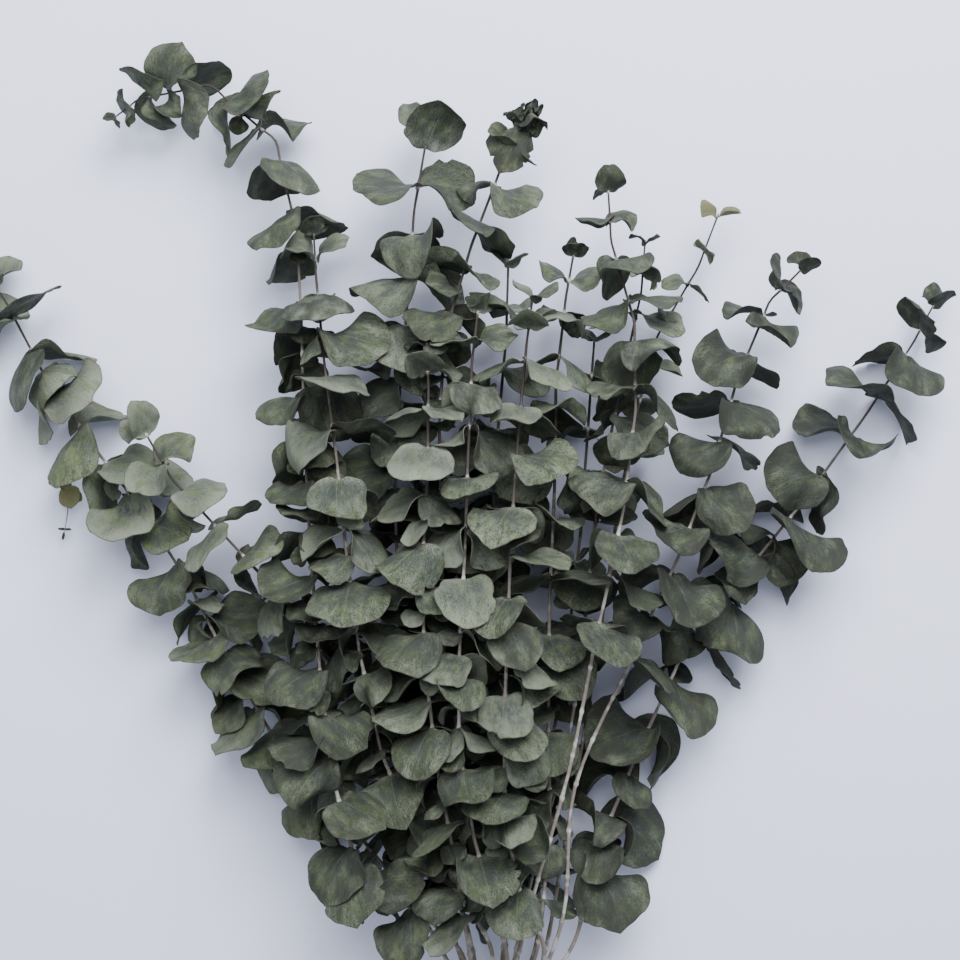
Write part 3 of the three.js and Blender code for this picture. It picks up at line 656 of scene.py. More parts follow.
@dataclass(frozen=True)
class LeafFinish:
    """A dried leaf: grey-green under a dusty pale bloom, with veins, rust spots and a thin dark margin."""

    green: Colour = (0.062, 0.08, 0.048)
    deep: Colour = (0.025, 0.032, 0.022)
    bloom: Colour = (0.182, 0.204, 0.156)
    # Painted shade colour for the heart of the blade.
    heart_shade_colour: Colour = (0.036, 0.045, 0.048)
    fresh: Colour = (0.085, 0.112, 0.05)
    olive: Colour = (0.086, 0.099, 0.04)
    yellow: Colour = (0.2, 0.195, 0.085)
    # Near-black that darkened leaves mix towards: their scorched tone, and painted shade.
    char_and_shade: Colour = (0.023, 0.025, 0.021)
    rust: Colour = (0.09, 0.055, 0.032)
    margin: Colour = (0.045, 0.042, 0.03)
    vein: Colour = (0.19, 0.205, 0.14)
    dust: Colour = (0.32, 0.35, 0.29)
    cloud_scale: float = 2.4
    patch_scale: float = 3.2
    fleck_scale: float = 10.0
    dust_scale: float = 34.0
    streak_scale: float = 3.4
    streak_spread: Pair = (7.0, 1.6)
    streaks_meet: float = 0.12
    midrib_width: Pair = (0.035, 0.008)
    side_veins: float = 8.0
    side_vein_slant: float = 0.55
    side_vein_wander: float = 0.12
    side_vein_width: Pair = (0.075, 0.02)
    side_vein_fades: Pair = (0.92, 0.6)
    side_vein_strength: float = 0.45
    wander_scale: float = 5.0
    relief_depth: float = 0.001

    def material(self) -> bpy.types.Material:
        """Returns the material."""
        bench = Bench("dried_eucalyptus_leaf")
        tint, olive, dark = (bench.values(name) for name in ("tint", "olive", "dark"))
        rim, under, yellow = (bench.values(name) for name in ("rim", "under", "yellow"))
        along, across = bench.values("along"), bench.values("across")
        on_leaf = bench.point(along, across, tint * 61.0)
        cloud = bench.noise(on_leaf, self.cloud_scale, 3.0, 0.6) - 0.5
        patch = bench.noise(bench.point(along, across, tint * 23.0 + 9.0), self.patch_scale)
        fleck = bench.noise(on_leaf, self.fleck_scale, 4.0, 0.7) - 0.5
        dust = bench.noise(on_leaf, self.dust_scale, 3.0, 0.65) - 0.5
        streak = self.streaks(bench, along, across, tint)
        # Bloom share: the leaf's own dusty bloom, plus painted light that pales the blade towards its margin
        # and painted shade that takes bloom off the underside.
        bloom_and_painted_light = tint * tint + rim * 0.3 + cloud * 2.2 + streak * 1.6 + fleck * 1.6 + dust * 2.6
        bloom_and_painted_light = (bloom_and_painted_light - under * 0.12 - dark * 0.1 - 0.16).held()
        colour = bench.mix((0.62 + fleck * 2.4 + streak * 1.8 + dust * 2.4).held(), self.deep, self.green)
        colour = bench.mix((olive * (0.6 + cloud * 1.8)).held(), colour, self.olive)
        colour = bench.mix(bloom_and_painted_light, colour, self.bloom)
        colour = bench.mix(patch.ramp(0.48, 0.66) * (0.35 + olive * 0.4), colour, self.fresh)
        # Painted shade: a dark slate patch at the heart of the blade, towards the root and away from the
        # margin.
        heart_shade = along.ramp(1.0, 0.3) * patch.ramp(0.66, 0.44) * (1.0 - rim * 0.6)
        colour = bench.mix((heart_shade * (0.9 + streak * 3.2 + fleck * 2.2)).held() * 0.94, colour, self.heart_shade_colour)
        colour = bench.mix(yellow, colour, self.yellow)
        veins = self.veins(bench, along, across, rim)
        colour = bench.mix(veins * (0.35 + streak * 1.5).held(), colour, self.vein)
        dusty = (along.ramp(0.2, 0.02) * (0.45 + dust * 2.0 + streak * 3.0)).held()
        colour = bench.mix(dusty * 0.6, colour, self.dust)
        rusty = (fleck.ramp(0.12, 0.24) * (0.5 - cloud * 2.0)).held()
        colour = bench.mix(rusty * 0.5, colour, self.rust)
        dried = rim.ramp(0.955, 0.995) * (0.75 + cloud * 1.5)
        colour = bench.mix(dried.held() * 0.65, colour, self.margin)
        # Darkened leaves go towards near-black: partly the scorched tone of dried leaves, partly painted
        # shade on leaves towards the tie, on the darker stems and on leaves drawn dark at random.
        scorched_and_shaded = (dark * (0.85 + rim.ramp(0.45, 1.0) * 0.5 + (fleck + streak) * 2.4 - cloud * 4.0)).held()
        colour = bench.mix(scorched_and_shaded * 0.88, colour, self.char_and_shade)
        relief = dust * 0.6 + fleck * 0.6 + streak * 0.7 - veins * 0.5
        return bench.finish(
            {"IOR": 1.4, "Specular IOR Level": 0.3},
            {
                "Base Color": colour,
                "Roughness": 0.84 - veins * 0.1 - (1.0 - bloom_and_painted_light) * 0.2,
                "Normal": bench.bump(relief, self.relief_depth, 0.8),
            },
        )

    def streaks(self, bench: Bench, along: Wire, across: Wire, tint: Wire) -> Wire:
        """Returns fine streaks, about 0, that fan out from the root. Args: bench; along, across and tint."""
        ahead = along + self.streaks_meet
        turn = bench.math("ARCTAN2", across, ahead)
        away = bench.math("SQRT", ahead * ahead + across * across)
        finely, coarsely = self.streak_spread
        where = bench.point(turn * finely, away * coarsely, tint * 37.0)
        return bench.noise(where, self.streak_scale, 4.0, 0.65) - 0.5

    def veins(self, bench: Bench, along: Wire, across: Wire, rim: Wire) -> Wire:
        """Lays out the midrib and the side veins that leave it.

        Args:
            bench: the material's bench.
            along: place along the midrib, 0 at the root and 1 at the tip.
            across: place across it, 0 on the midrib.
            rim: 0 in the middle of the leaf and 1 on its margin.

        Returns:
            1 on a vein and 0 between.
        """
        away = abs(across)
        midrib = away.ramp(*self.midrib_width) * (1.05 - along).held()
        wander = bench.noise(bench.point(along, across, 3.0), self.wander_scale, 2.0)
        row = (along - away * self.side_vein_slant + wander * self.side_vein_wander) * self.side_veins
        spread = abs(row.math("FRACT") - 0.5)
        side = spread.ramp(*self.side_vein_width) * rim.ramp(*self.side_vein_fades)
        return (midrib + side * self.side_vein_strength).held()


@dataclass(frozen=True)
class TwigFinish:
    """A woody twig: dark brown at the tip, pinkish grey below, pale and peeling at the leaf pairs."""

    tip: Colour = (0.035, 0.026, 0.026)
    middle: Colour = (0.19, 0.165, 0.15)
    foot: Colour = (0.15, 0.125, 0.1)
    pale: Colour = (0.42, 0.42, 0.39)
    wood: Colour = (0.42, 0.34, 0.2)
    streak_scale: float = 420.0
    patch_scale: float = 90.0
    relief_depth: float = 0.0004

    def material(self) -> bpy.types.Material:
        """Returns the material."""
        bench = Bench("dried_eucalyptus_twig")
        age, joint, cut = (bench.values(name) for name in ("age", "joint", "cut"))
        place = bench.place()
        streak = bench.noise(place, self.streak_scale, 4.0, 0.7)
        patch = bench.noise(place, self.patch_scale)
        colour = bench.mix(age.ramp(0.06, 0.42), self.tip, self.middle)
        colour = bench.mix(age.ramp(0.6, 1.0), colour, self.foot)
        colour = bench.mix((streak - 0.4).held() * 0.7, colour, self.tip)
        peeling = (joint * patch.ramp(0.36, 0.56) + patch.ramp(0.5, 0.62) * age.ramp(0.1, 0.4) * 0.75).held()
        colour = bench.mix(peeling, colour, self.pale)
        colour = bench.mix(cut, colour, self.wood)
        return bench.finish(
            {"Specular IOR Level": 0.3},
            {
                "Base Color": colour,
                "Roughness": 0.92 - streak * 0.2,
                "Normal": bench.bump(streak + patch * 0.6, self.relief_depth, 0.8),
            },
        )


@dataclass(frozen=True)
class TwineFinish:
    """Natural twine: straw coloured plies with darker grooves and loose fibres."""

    straw: Colour = (0.4, 0.29, 0.15)
    shade: Colour = (0.16, 0.1, 0.045)
    fibre: Colour = (0.58, 0.47, 0.3)
    fibre_scale: float = 2400.0
    patch_scale: float = 300.0
    relief_depth: float = 0.0004

    def material(self) -> bpy.types.Material:
        """Returns the material."""
        bench = Bench("natural_twine")
        place = bench.place()
        fibres = bench.noise(place, self.fibre_scale, 4.0, 0.7)
        patch = bench.noise(place, self.patch_scale, 2.0)
        ridge = bench.values("ridge")
        # Painted shade: the grooves between the plies are darker.
        colour = bench.mix((ridge + patch * 0.4 - 0.2).held(), self.shade, self.straw)
        colour = bench.mix(fibres.ramp(0.5, 0.7) * 0.6, colour, self.fibre)
        return bench.finish(
            {"Specular IOR Level": 0.2, "Sheen Weight": 0.2},
            {
                "Base Color": colour,
                "Roughness": 0.96 - fibres * 0.12,
                "Normal": bench.bump(fibres, self.relief_depth, 0.9),
            },
        )


@dataclass(frozen=True)
class FloorFinish:
    """A plain pale surface."""

    colour: Colour = (0.76, 0.8, 1.0)

    def material(self) -> bpy.types.Material:
        """Returns the material."""
        bench = Bench("pale_surface")
        constants = {"Base Color": (*self.colour, 1.0), "Roughness": 0.9, "Specular IOR Level": 0.1}
        return bench.finish(constants, {})


# ---------- Stems ----------


@dataclass(frozen=True)
class Ring:
    """Four corners of a stem's solid, at a distance from its tip."""

    distance: float
    corners: Array

    def centre(self) -> Array:
        """Returns the middle of the corners."""
        return self.corners.mean(axis=0)


@dataclass(frozen=True)
class Stretch:
    """The part of a stem's solid between two rings, and a height on it."""

    upper: Ring
    lower: Ring
    rise: float

    def on_side(self, side: int, across: float, rise: float) -> Array:
        """Returns a point of one side. Args: side, its number; across and rise, shares of the way over it."""
        following = (side + 1) % STEM_SIDES
        low = self.lower.corners[side] * (1 - across) + self.lower.corners[following] * across
        high = self.upper.corners[side] * (1 - across) + self.upper.corners[following] * across
        return low * (1 - rise) + high * rise


class Course:
    """The line that a stem follows, with its pairs of leaves and the rings of its solid."""

    SHORT_OF_END = 0.01

    def __init__(self, stem: Stem, number: int) -> None:
        """Works out the line. Args: stem, its measures; number, its place in the list of stems."""
        self.stem = stem
        self.number = number
        points = self.guide_points()
        self.samples = centripetal(points, ROUTE_STEPS_PER_SPAN)[::-1]
        self.distances = travelled(self.samples)
        count = len(self.samples) - 1
        self.into_tie, self.out_of_tie = (
            float(self.distances[count - spans * ROUTE_STEPS_PER_SPAN]) for spans in (2, 1)
        )
        self.total = float(self.distances[-1])
        self.pairs = self.pair_places()
        self.rings = self.solid_rings()

    def guide_points(self) -> Array:
        """Returns the points that the line runs through, from the cut end to the tip."""
        column, row = self.stem.place
        rise = row - MIDDLE_ROW
        tie = np.array([column * PACKING_STEP, 0.0, TIE_CENTRE_HEIGHT + rise * ROW_STEP])
        cut_height = TIE_CENTRE_HEIGHT + rise * ROW_STEP * CUT_END_SPREAD
        cut_place = CUT_END + CUT_END_STEP_PER_COLUMN * abs(column) + CUT_END_STEP_PER_ROW * (row % 3)
        end = (tie[0] * CUT_END_SPREAD, cut_place, max(cut_height, LOWEST_CUT_STEM))
        fan = (
            FAN_CENTRE_ACROSS + column * FAN_STEP_ACROSS,
            FAN_START,
            FAN_CENTRE_HEIGHT + rise * FAN_STEP_UP,
        )
        through = [(tie[0], y, tie[2]) for y in (-STRAIGHT_THROUGH_TIE, STRAIGHT_THROUGH_TIE)]
        return np.array([end, *through, fan, *self.stem.route], float)

    def at(self, distance: float) -> Array:
        """Returns the point at a distance from the tip."""
        i = min(max(int(np.searchsorted(self.distances, distance)), 1), len(self.distances) - 1)
        share = (distance - self.distances[i - 1]) / (self.distances[i] - self.distances[i - 1])
        return self.samples[i - 1] * (1 - share) + self.samples[i] * share

    def leaf_length_at(self, distance: float) -> float:
        """Returns the length of the leaves at a distance from the tip."""
        full, at_tip, growth = self.stem.leaf
        share = min(distance / growth, 1.0)
        return at_tip + (full - at_tip) * share * (2 - share)

    def pair_places(self) -> list[float]:
        """Returns the distances from the tip at which the stem carries a pair of leaves."""
        places = []
        draws = Stream.PAIRS.draws(self.number)
        distance = FIRST_PAIR_FROM_TIP
        while distance < self.total and self.at(distance)[1] > self.stem.bare_below:
            places.append(distance)
            gap = PAIR_GAP + PAIR_GAP_PER_LEAF_LENGTH * self.leaf_length_at(distance)
            distance += gap * self.stem.spread * draws.between(PAIR_GAP_SHARE)
        return places

    def radius_at(self, distance: float) -> float:
        """Returns the radius of the corners of the solid at a distance from the tip."""
        end, tip = self.stem.radius
        return tip + (end - tip) * math.sqrt(distance / self.total)

    def solid_rings(self) -> list[Ring]:
        """Returns the rings of corners of the stem's solid, from the tip down."""
        bare_from = self.pairs[-1] + BELOW_LAST_PAIR
        stations = [0.0]
        stations += [(self.pairs[i - 1] + self.pairs[i]) / 2 for i in range(2, len(self.pairs), 2)]
        stations += [bare_from + (self.into_tie - bare_from) * share for share in BARE_RINGS]
        stations += [self.into_tie, self.out_of_tie, self.total]
        centres = [self.at(distance) for distance in stations]
        growths = [unit(above - below) for above, below in zip(centres, centres[1:])]
        up = unit(UP - growths[0] * growths[0][2])
        right = np.cross(growths[0], up)
        first = math.radians(self.stem.turn)
        turns = [first + (side - 0.5) * FULL_TURN / STEM_SIDES for side in range(STEM_SIDES)]
        offsets = [up * math.cos(turn) + right * math.sin(turn) for turn in turns]
        rings = []
        for i, (distance, centre) in enumerate(zip(stations, centres)):
            above = growths[max(i - 1, 0)]
            below = growths[min(i, len(growths) - 1)]
            mitre = unit(above + below)
            offsets = [offset - above * offset.dot(mitre) / above.dot(mitre) for offset in offsets]
            radius = self.radius_at(distance)
            rings.append(Ring(distance, np.array([centre + offset * radius for offset in offsets])))
        return rings

    def stretch_at(self, distance: float) -> Stretch:
        """Returns the part of the solid round a distance from the tip."""
        i = next(k for k, ring in enumerate(self.rings) if k > 0 and ring.distance > distance)
        upper, lower = self.rings[i - 1], self.rings[i]
        return Stretch(upper, lower, (lower.distance - distance) / (lower.distance - upper.distance))

    def centre_at(self, distance: float) -> Array:
        """Returns the middle of the solid at a distance from the tip."""
        stretch = self.stretch_at(min(distance, self.total - self.SHORT_OF_END))
        return stretch.lower.centre() * (1 - stretch.rise) + stretch.upper.centre() * stretch.rise


@dataclass
class Leaf:
    """One leaf: its root, its three directions and the way it hangs."""

    kind: LeafKind
    distance: float
    root: Array
    growth: Array
    out: Array
    across: Array
    length: float
    width: float
    start: float
    droop: float
    roll: float
    folds: Pair
    seed: int

    CREASE = 0.45
    ROLL_REACHED = 0.42
    FOLD_REACHED = 0.4

    def tip(self) -> Array:
        """Returns the tip of the leaf's middle surface."""
        return self.midrib(np.array([1.0]))[0][0]

    def midrib(self, along: Array) -> tuple[Array, Array]:
        """Returns points of the midrib and the directions square to the blade. Args: along, the places."""
        bend = self.droop * along
        middle = self.start + bend / 2
        angle = self.start + bend
        chord = self.length * along * np.sinc(bend / 2 / math.pi)
        reach = (chord * np.cos(middle))[:, None] * self.out - (chord * np.sin(middle))[:, None] * self.growth
        face = np.sin(angle)[:, None] * self.out + np.cos(angle)[:, None] * self.growth
        return self.root + reach, face

    def surface(self, along: Array, across: Array, lift: Array) -> Array:
        """Returns points of the leaf's middle surface.

        Args:
            along: place along the midrib, 0 at the root and 1 at the tip.
            across: place across it, as a share of the widest half-width, negative on one side.
            lift: how far each point is raised off the surface, in millimetres.

        Returns:
            The points, one a row.
        """
        points, face = self.midrib(along)
        roll = (self.roll * smooth(along / self.ROLL_REACHED))[:, None]
        side = self.across * np.cos(roll) + face * np.sin(roll)
        upper = face * np.cos(roll) - self.across * np.sin(roll)
        share = np.abs(across)
        fold = np.where(across < 0, *self.folds) * smooth(along / self.FOLD_REACHED)
        first = self.CREASE * fold
        turned = 2 * (1 - self.CREASE) * fold * share
        chord = self.width / 2 * share * np.sinc(turned / 2 / math.pi)
        sideways = chord * np.cos(first + turned / 2) * np.sign(across)
        raised = chord * np.sin(first + turned / 2) + lift
        return points + side * sideways[:, None] + upper * raised[:, None]


def draw_folds(draws: Draws, curled_share: float) -> Pair:
    """Draws how far each margin folds up, or down where it is below zero.

    Args:
        draws: the stream of draws.
        curled_share: the share of margins that curl right round.

    Returns:
        The two angles.
    """
    folds = []
    for _ in range(2):
        curled = draws.chance() < curled_share
        folds.append(math.radians(draws.between(CURLED_MARGIN_FOLD if curled else MARGIN_FOLD)))
    return folds[0], folds[1]


def draw_hang(
    course: Course, distance: float, across: Array, draws: Draws, attempt: int, upright: float = 0.0
) -> Hang:
    """Draws how a leaf hangs.

    Args:
        course: the stem's line.
        distance: the leaf's distance from the tip.
        across: the direction across it.
        draws: its stream of draws.
        attempt: number of the try: later tries may hang further up or down.
        upright: how many degrees it is raised.

    Returns:
        The angle that it starts at, how far it droops from there, and its roll.
    """
    wider = (-WIDER_DROOP_PER_TRY * attempt, WIDER_DROOP_PER_TRY * attempt)
    start = draws.between(START_DROOP) - upright + draws.between(wider) / 2
    droop = draws.between(ADDED_DROOP) + draws.between(wider) / 2
    roll = draws.between(LOOSE_ROLL)
    roll -= across[2] * draws.between(FACE_UP_ROLL) * course.stem.turned_up(distance)
    return math.radians(start), math.radians(droop), math.radians(roll)


def draw_leaf(course: Course, pair: int, half: int, attempt: int) -> Leaf:
    """Repeats one try at a leaf of the stem's solid.

    Args:
        course: the stem's line.
        pair: number of the pair from the tip.
        half: 0 or 1, which leaf of the pair.
        attempt: number of the try.

    Returns:
        The leaf of that try.
    """
    seed = ((course.number * SEEDS_PER_STEM + pair) * 2 + half) * SEEDS_PER_LEAF + attempt
    draws = Draws(seed)
    side = (pair + 2 * half) % STEM_SIDES
    distance = course.pairs[pair]
    stretch = course.stretch_at(distance)
    root = stretch.on_side(side, 0.5, stretch.rise)
    growth = unit(stretch.on_side(side, 0.5, 1) - root)
    sideways = stretch.on_side(side, 1, stretch.rise) - root
    sideways = unit(sideways - growth * sideways.dot(growth))
    facing = np.cross(sideways, growth)
    lean = math.radians(draws.between(SIDEWAYS_LEAN))
    out = facing * math.cos(lean) + sideways * math.sin(lean)
    across = np.cross(growth, out)
    shrink = 1 - SHRINK_PER_TRY * max(0, attempt - SHRINK_AFTER_TRY)
    length = course.leaf_length_at(distance) * draws.between(LENGTH_SHARE) * shrink
    width = length * draws.between(WIDTH_SHARE)
    upright = UPRIGHT_AT_TIP * max(0.0, 1 - distance / UPRIGHT_WITHIN) - course.stem.steeper(distance)
    hang = draw_hang(course, distance, across, draws, attempt, upright)
    folds = draw_folds(draws, CURLED_SHARE)
    return Leaf(LeafKind.GROWN, distance, root, growth, out, across, length, width, *hang, folds, seed)


class GrownLeaves:
    """Finds which leaves the solid of a stem carries, by their tips."""

    NEAR = 0.04

    def __init__(self, course: Course) -> None:
        """Reads the solid's corners. Args: course, the stem's line."""
        self.course = course
        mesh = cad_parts[course.stem.name].data
        self.tree = KDTree(len(mesh.vertices))
        for number, vertex in enumerate(mesh.vertices):
            self.tree.insert(vertex.co / MM, number)
        self.tree.balance()

    def carries(self, tip: Array) -> bool:
        """Returns whether two corners lie on both sides of tip, half a blade's thickness away."""
        half = BLADE_THICKNESS / 2
        level = np.array([tip[0], tip[1], max(tip[2], half)])
        near = [np.array(place) for place, _, _ in self.tree.find_range(Vector(level), half + self.NEAR)]
        on_shell = [point for point in near if abs(np.linalg.norm(point - level) - half) < self.NEAR]
        middles = ((a + b) / 2 for i, a in enumerate(on_shell) for b in on_shell[:i])
        return any(np.linalg.norm(middle - level) < self.NEAR for middle in middles)

    def find(self) -> tuple[list[Leaf], list[tuple[int, int]]]:
        """Returns the leaves that the solid carries, and the pair and half of those that it lacks."""
        found, lacking = [], []
        for pair in range(len(self.course.pairs)):
            for half in (0, 1):
                tries = (draw_leaf(self.course, pair, half, attempt) for attempt in range(TRIES_PER_LEAF))
                leaf = next((leaf for leaf in tries if self.carries(leaf.tip())), None)
                if leaf:
                    found.append(leaf)
                else:
                    lacking.append((pair, half))
        return found, lacking


# ---------- Room between leaves ----------


class Room:
    """Keeps the space that stems and leaves take up, so that a new leaf can be set clear of them."""

    CELLS = 4
    GUARD = 0.55
    MIDDLE = 0.53
    REACH = 0.47

    def __init__(self) -> None:
        """Starts with nothing placed."""
        self.lows: list[Array] = []
        self.highs: list[Array] = []
        self.trees: list[BVHTree] = []
        self.cut = Cut(self.CELLS)

    def add(self, points: Array, faces: Sequence[Sequence[int]]) -> None:
        """Takes up the space of a mesh. Args: points; faces."""
        self.lows.append(points.min(axis=0))
        self.highs.append(points.max(axis=0))
        self.trees.append(BVHTree.FromPolygons(points.tolist(), faces))

    def surface(self, leaf: Leaf) -> Array:
        """Returns the points of a coarse leaf."""
        along = self.MIDDLE + self.REACH * self.cut.x
        return leaf.surface(along, self.cut.y, np.zeros_like(along))

    def shell(self, leaf: Leaf) -> Shell:
        """Returns both faces of a coarse leaf, a little thicker than the real one."""
        middle = self.surface(leaf)
        normals = self.cut.normals(middle)
        count = len(middle)
        points = np.vstack([middle + normals * self.GUARD, middle - normals * self.GUARD])
        faces = [tuple(quad) for quad in self.cut.quads] + [tuple(quad + count) for quad in self.cut.quads]
        return points, faces

    def shown(self, leaf: Leaf) -> float:
        """Returns how much of a leaf shows from above, in square millimetres."""
        return float(np.abs(self.cut.spans(self.surface(leaf))[:, 2]).sum() / 2)

    def take(self, leaf: Leaf) -> None:
        """Takes up the space of a leaf."""
        self.add(*self.shell(leaf))

    def is_clear(self, leaf: Leaf, lowest: float, highest: float) -> bool:
        """Returns whether a leaf crosses nothing and stays between two heights."""
        points, faces = self.shell(leaf)
        low, high = points.min(axis=0), points.max(axis=0)
        if low[2] < lowest or high[2] > highest:
            return False
        tree = BVHTree.FromPolygons(points.tolist(), faces)
        near = np.all((np.array(self.lows) <= high) & (np.array(self.highs) >= low), axis=1)
        return not any(tree.overlap(self.trees[i]) for i in np.flatnonzero(near))


class Cut:
    """The even cells that a leaf is cut from: a square grid drawn into a disc."""

    def __init__(self, cells: int) -> None:
        """Lays out the grid. Args: cells, how many across."""
        steps = np.linspace(-1, 1, cells + 1)
        square_x, square_y = (grid.ravel() for grid in np.meshgrid(steps, steps, indexing="ij"))
        self.x = square_x * np.sqrt(1 - square_y**2 / 2)
        self.y = square_y * np.sqrt(1 - square_x**2 / 2)
        row = cells + 1
        corners = [i * row + j for i in range(cells) for j in range(cells)]
        self.quads = np.array([[c, c + row, c + row + 1, c + 1] for c in corners])
        last = cells * row
        sides = ((0, last, row), (last, last + cells, 1), (last + cells, cells, -row), (cells, 0, -1))
        self.rim = np.concatenate([np.arange(*side) for side in sides])

    def spans(self, points: Array) -> Array:
        """Returns for each cell the vector square to it, as long as twice its area."""
        a, b, c, d = (points[self.quads[:, k]] for k in range(4))
        return np.cross(c - a, d - b)

    def normals(self, points: Array) -> Array:
        """Returns the direction square to the surface at each point of it."""
        faces = self.spans(points)
        summed = np.zeros_like(points)
        for k in range(4):
            np.add.at(summed, self.quads[:, k], faces)
        return summed / np.maximum(np.linalg.norm(summed, axis=1), 1e-9)[:, None]


# ---------- Leaves ----------


@dataclass
class LeafShape:
    """Gives each leaf its own outline, folds, waves and tears, and builds it as a thin closed shell."""

    thickness: float = 0.45
    lies_at: float = 0.05
    fine_cells: int = 14
    small_cells: int = 8
    crumpled_cells: int = 18
    small_length: float = 18.0
    full_length: float = 36.0
    base: float = 0.06
    root_inside: float = 0.9
    flat_near_root: float = 0.35
    lop: Pair = (0.0, 0.07)
    pointed: Pair = (0.1, 1.0)
    point_form: Pair = (0.1, 0.13)
    beside_point: tuple[float, float, float] = (0.05, 0.5, 0.28)
    shoulder: Pair = (-0.01, 0.05)
    shoulder_form: Pair = (2.3, 0.4)
    root_notch: Pair = (0.06, 0.16)
    root_notch_width: float = 0.34
    ripples: tuple[tuple[int, float], ...] = ((3, 0.026), (5, 0.016), (11, 0.009), (17, 0.007))
    torn_share: float = 0.2
    tears: int = 3
    tear_place: Pair = (-2.3, 2.3)
    tear_width: Pair = (0.05, 0.2)
    tear_depth: Pair = (0.08, 0.26)
    cup: Pair = (-2.6, 2.2)
    margin_lobes: tuple[int, ...] = (2, 3, 5, 7)
    margin_wave: Pair = (0.4, 2.4)
    plain_waviness: float = 1.6
    ruffled_waviness: float = 5.0
    rolled_towards: Pair = (-2.6, 2.6)
    rolled_margin: Pair = (-4.5, 5.0)
    rolled_from: float = 0.6
    inner_waves: int = 7
    inner_wave: Pair = (0.15, 0.5)
    wave_length: tuple[Pair, Pair] = ((0.5, 1.4), (0.24, 0.42))
    crumpled_wave_length: Pair = (0.3, 0.9)
    crumple: float = 5.0
    crease_chances: Pair = (0.55, 0.25)
    crease_towards: Pair = (-2.1, 2.1)
    crease_place: Pair = (0.2, 0.72)
    crease_turn: Pair = (18.0, 72.0)
    crease_side: Pair = (-1.0, 1.2)
    crease_softness: float = 0.05
    cuts: dict[int, Cut] = field(default_factory=dict)

    def cut(self, leaf: Leaf) -> Cut:
        """Returns the grid that a leaf is cut from, kept for the next leaf."""
        cells = self.small_cells if leaf.length < self.small_length else self.fine_cells
        if leaf.kind.is_scorched():
            cells = self.crumpled_cells
        if cells not in self.cuts:
            self.cuts[cells] = Cut(cells)
        return self.cuts[cells]

    def build(self, leaf: Leaf) -> tuple[Shell, dict[str, Array]]:
        """Builds one leaf.

        Args:
            leaf: the leaf.

        Returns:
            Its mesh, and the numbers of each vertex that its finish reads.
        """
        cut = self.cut(leaf)
        draws = Stream.SHAPE.draws(leaf.seed)
        radius = np.hypot(cut.x, cut.y)
        reach = 1 + (self.outline(leaf, draws, np.arctan2(cut.y, cut.x)) - 1) * radius**3
        flat_x, flat_y = cut.x * reach, cut.y * reach
        lift = self.waves(leaf, draws, cut, radius)
        x, y, lift = self.creased(leaf, draws, flat_x, flat_y, lift)
        inside = self.root_inside / leaf.length * (1 - cut.x) / 2
        middle = leaf.surface(self.place_along(x) - inside, y, lift)
        half = self.thickness / 2
        middle = resting(middle, self.lies_at + half)
        normals = cut.normals(middle)
        points = resting(np.vstack([middle + normals * half, middle - normals * half]), self.lies_at)
        count = len(middle)
        faces = [tuple(quad) for quad in cut.quads]
        faces += [tuple(quad[::-1] + count) for quad in cut.quads]
        faces += [(a + count, b + count, b, a) for a, b in zip(cut.rim, np.roll(cut.rim, -1))]
        values = {
            "along": np.tile(self.place_along(flat_x), 2),
            "across": np.tile(flat_y, 2),
            "rim": np.tile(radius, 2),
            # under is 1 on the underside of the blade, which the finish darkens as painted shade.
            "under": np.repeat([0.0, 1.0], count),
        }
        return (points, faces), values

    def place_along(self, x: Array) -> Array:
        """Returns the place along the midrib. Args: x, on the grid, from -1 at the root to 1 at the tip."""
        return (0.5 + 0.5 * x - self.base) / (1 - self.base)

    def outline(self, leaf: Leaf, draws: Draws, angle: Array) -> Array:
        """Returns how far the margin stands out, round the leaf.

        Args:
            leaf: the leaf.
            draws: its stream of draws.
            angle: the direction of each point, 0 towards the tip.

        Returns:
            The reach of each point, 1 for a plain round leaf.
        """
        turns = [draws.turn() for _ in range(4)]
        lop = draws.between(self.lop)
        point = draws.between(self.pointed)
        away = np.abs(angle)
        rise, narrow = self.point_form
        dip, beside, wide = self.beside_point
        reach = 1 + point * (rise * np.exp(-away / narrow) - dip * bell(away, beside, wide))
        reach += draws.between(self.shoulder) * bell(away, *self.shoulder_form)
        reach -= draws.between(self.root_notch) * bell(away, math.pi, self.root_notch_width)
        reach += lop * np.cos(angle + turns[0])
        for (lobes, depth), turn in zip(self.ripples, (*turns[1:], turns[0] * 3)):
            reach += depth * np.cos(lobes * angle + turn)
        torn = leaf.kind.is_scorched() or draws.chance() < self.torn_share
        for _ in range(self.tears if torn else 0):
            centre = draws.between(self.tear_place)
            width = draws.between(self.tear_width)
            depth = draws.between(self.tear_depth)
            reach -= depth * np.maximum(0, 1 - np.abs(angle - centre) / width)
        return reach

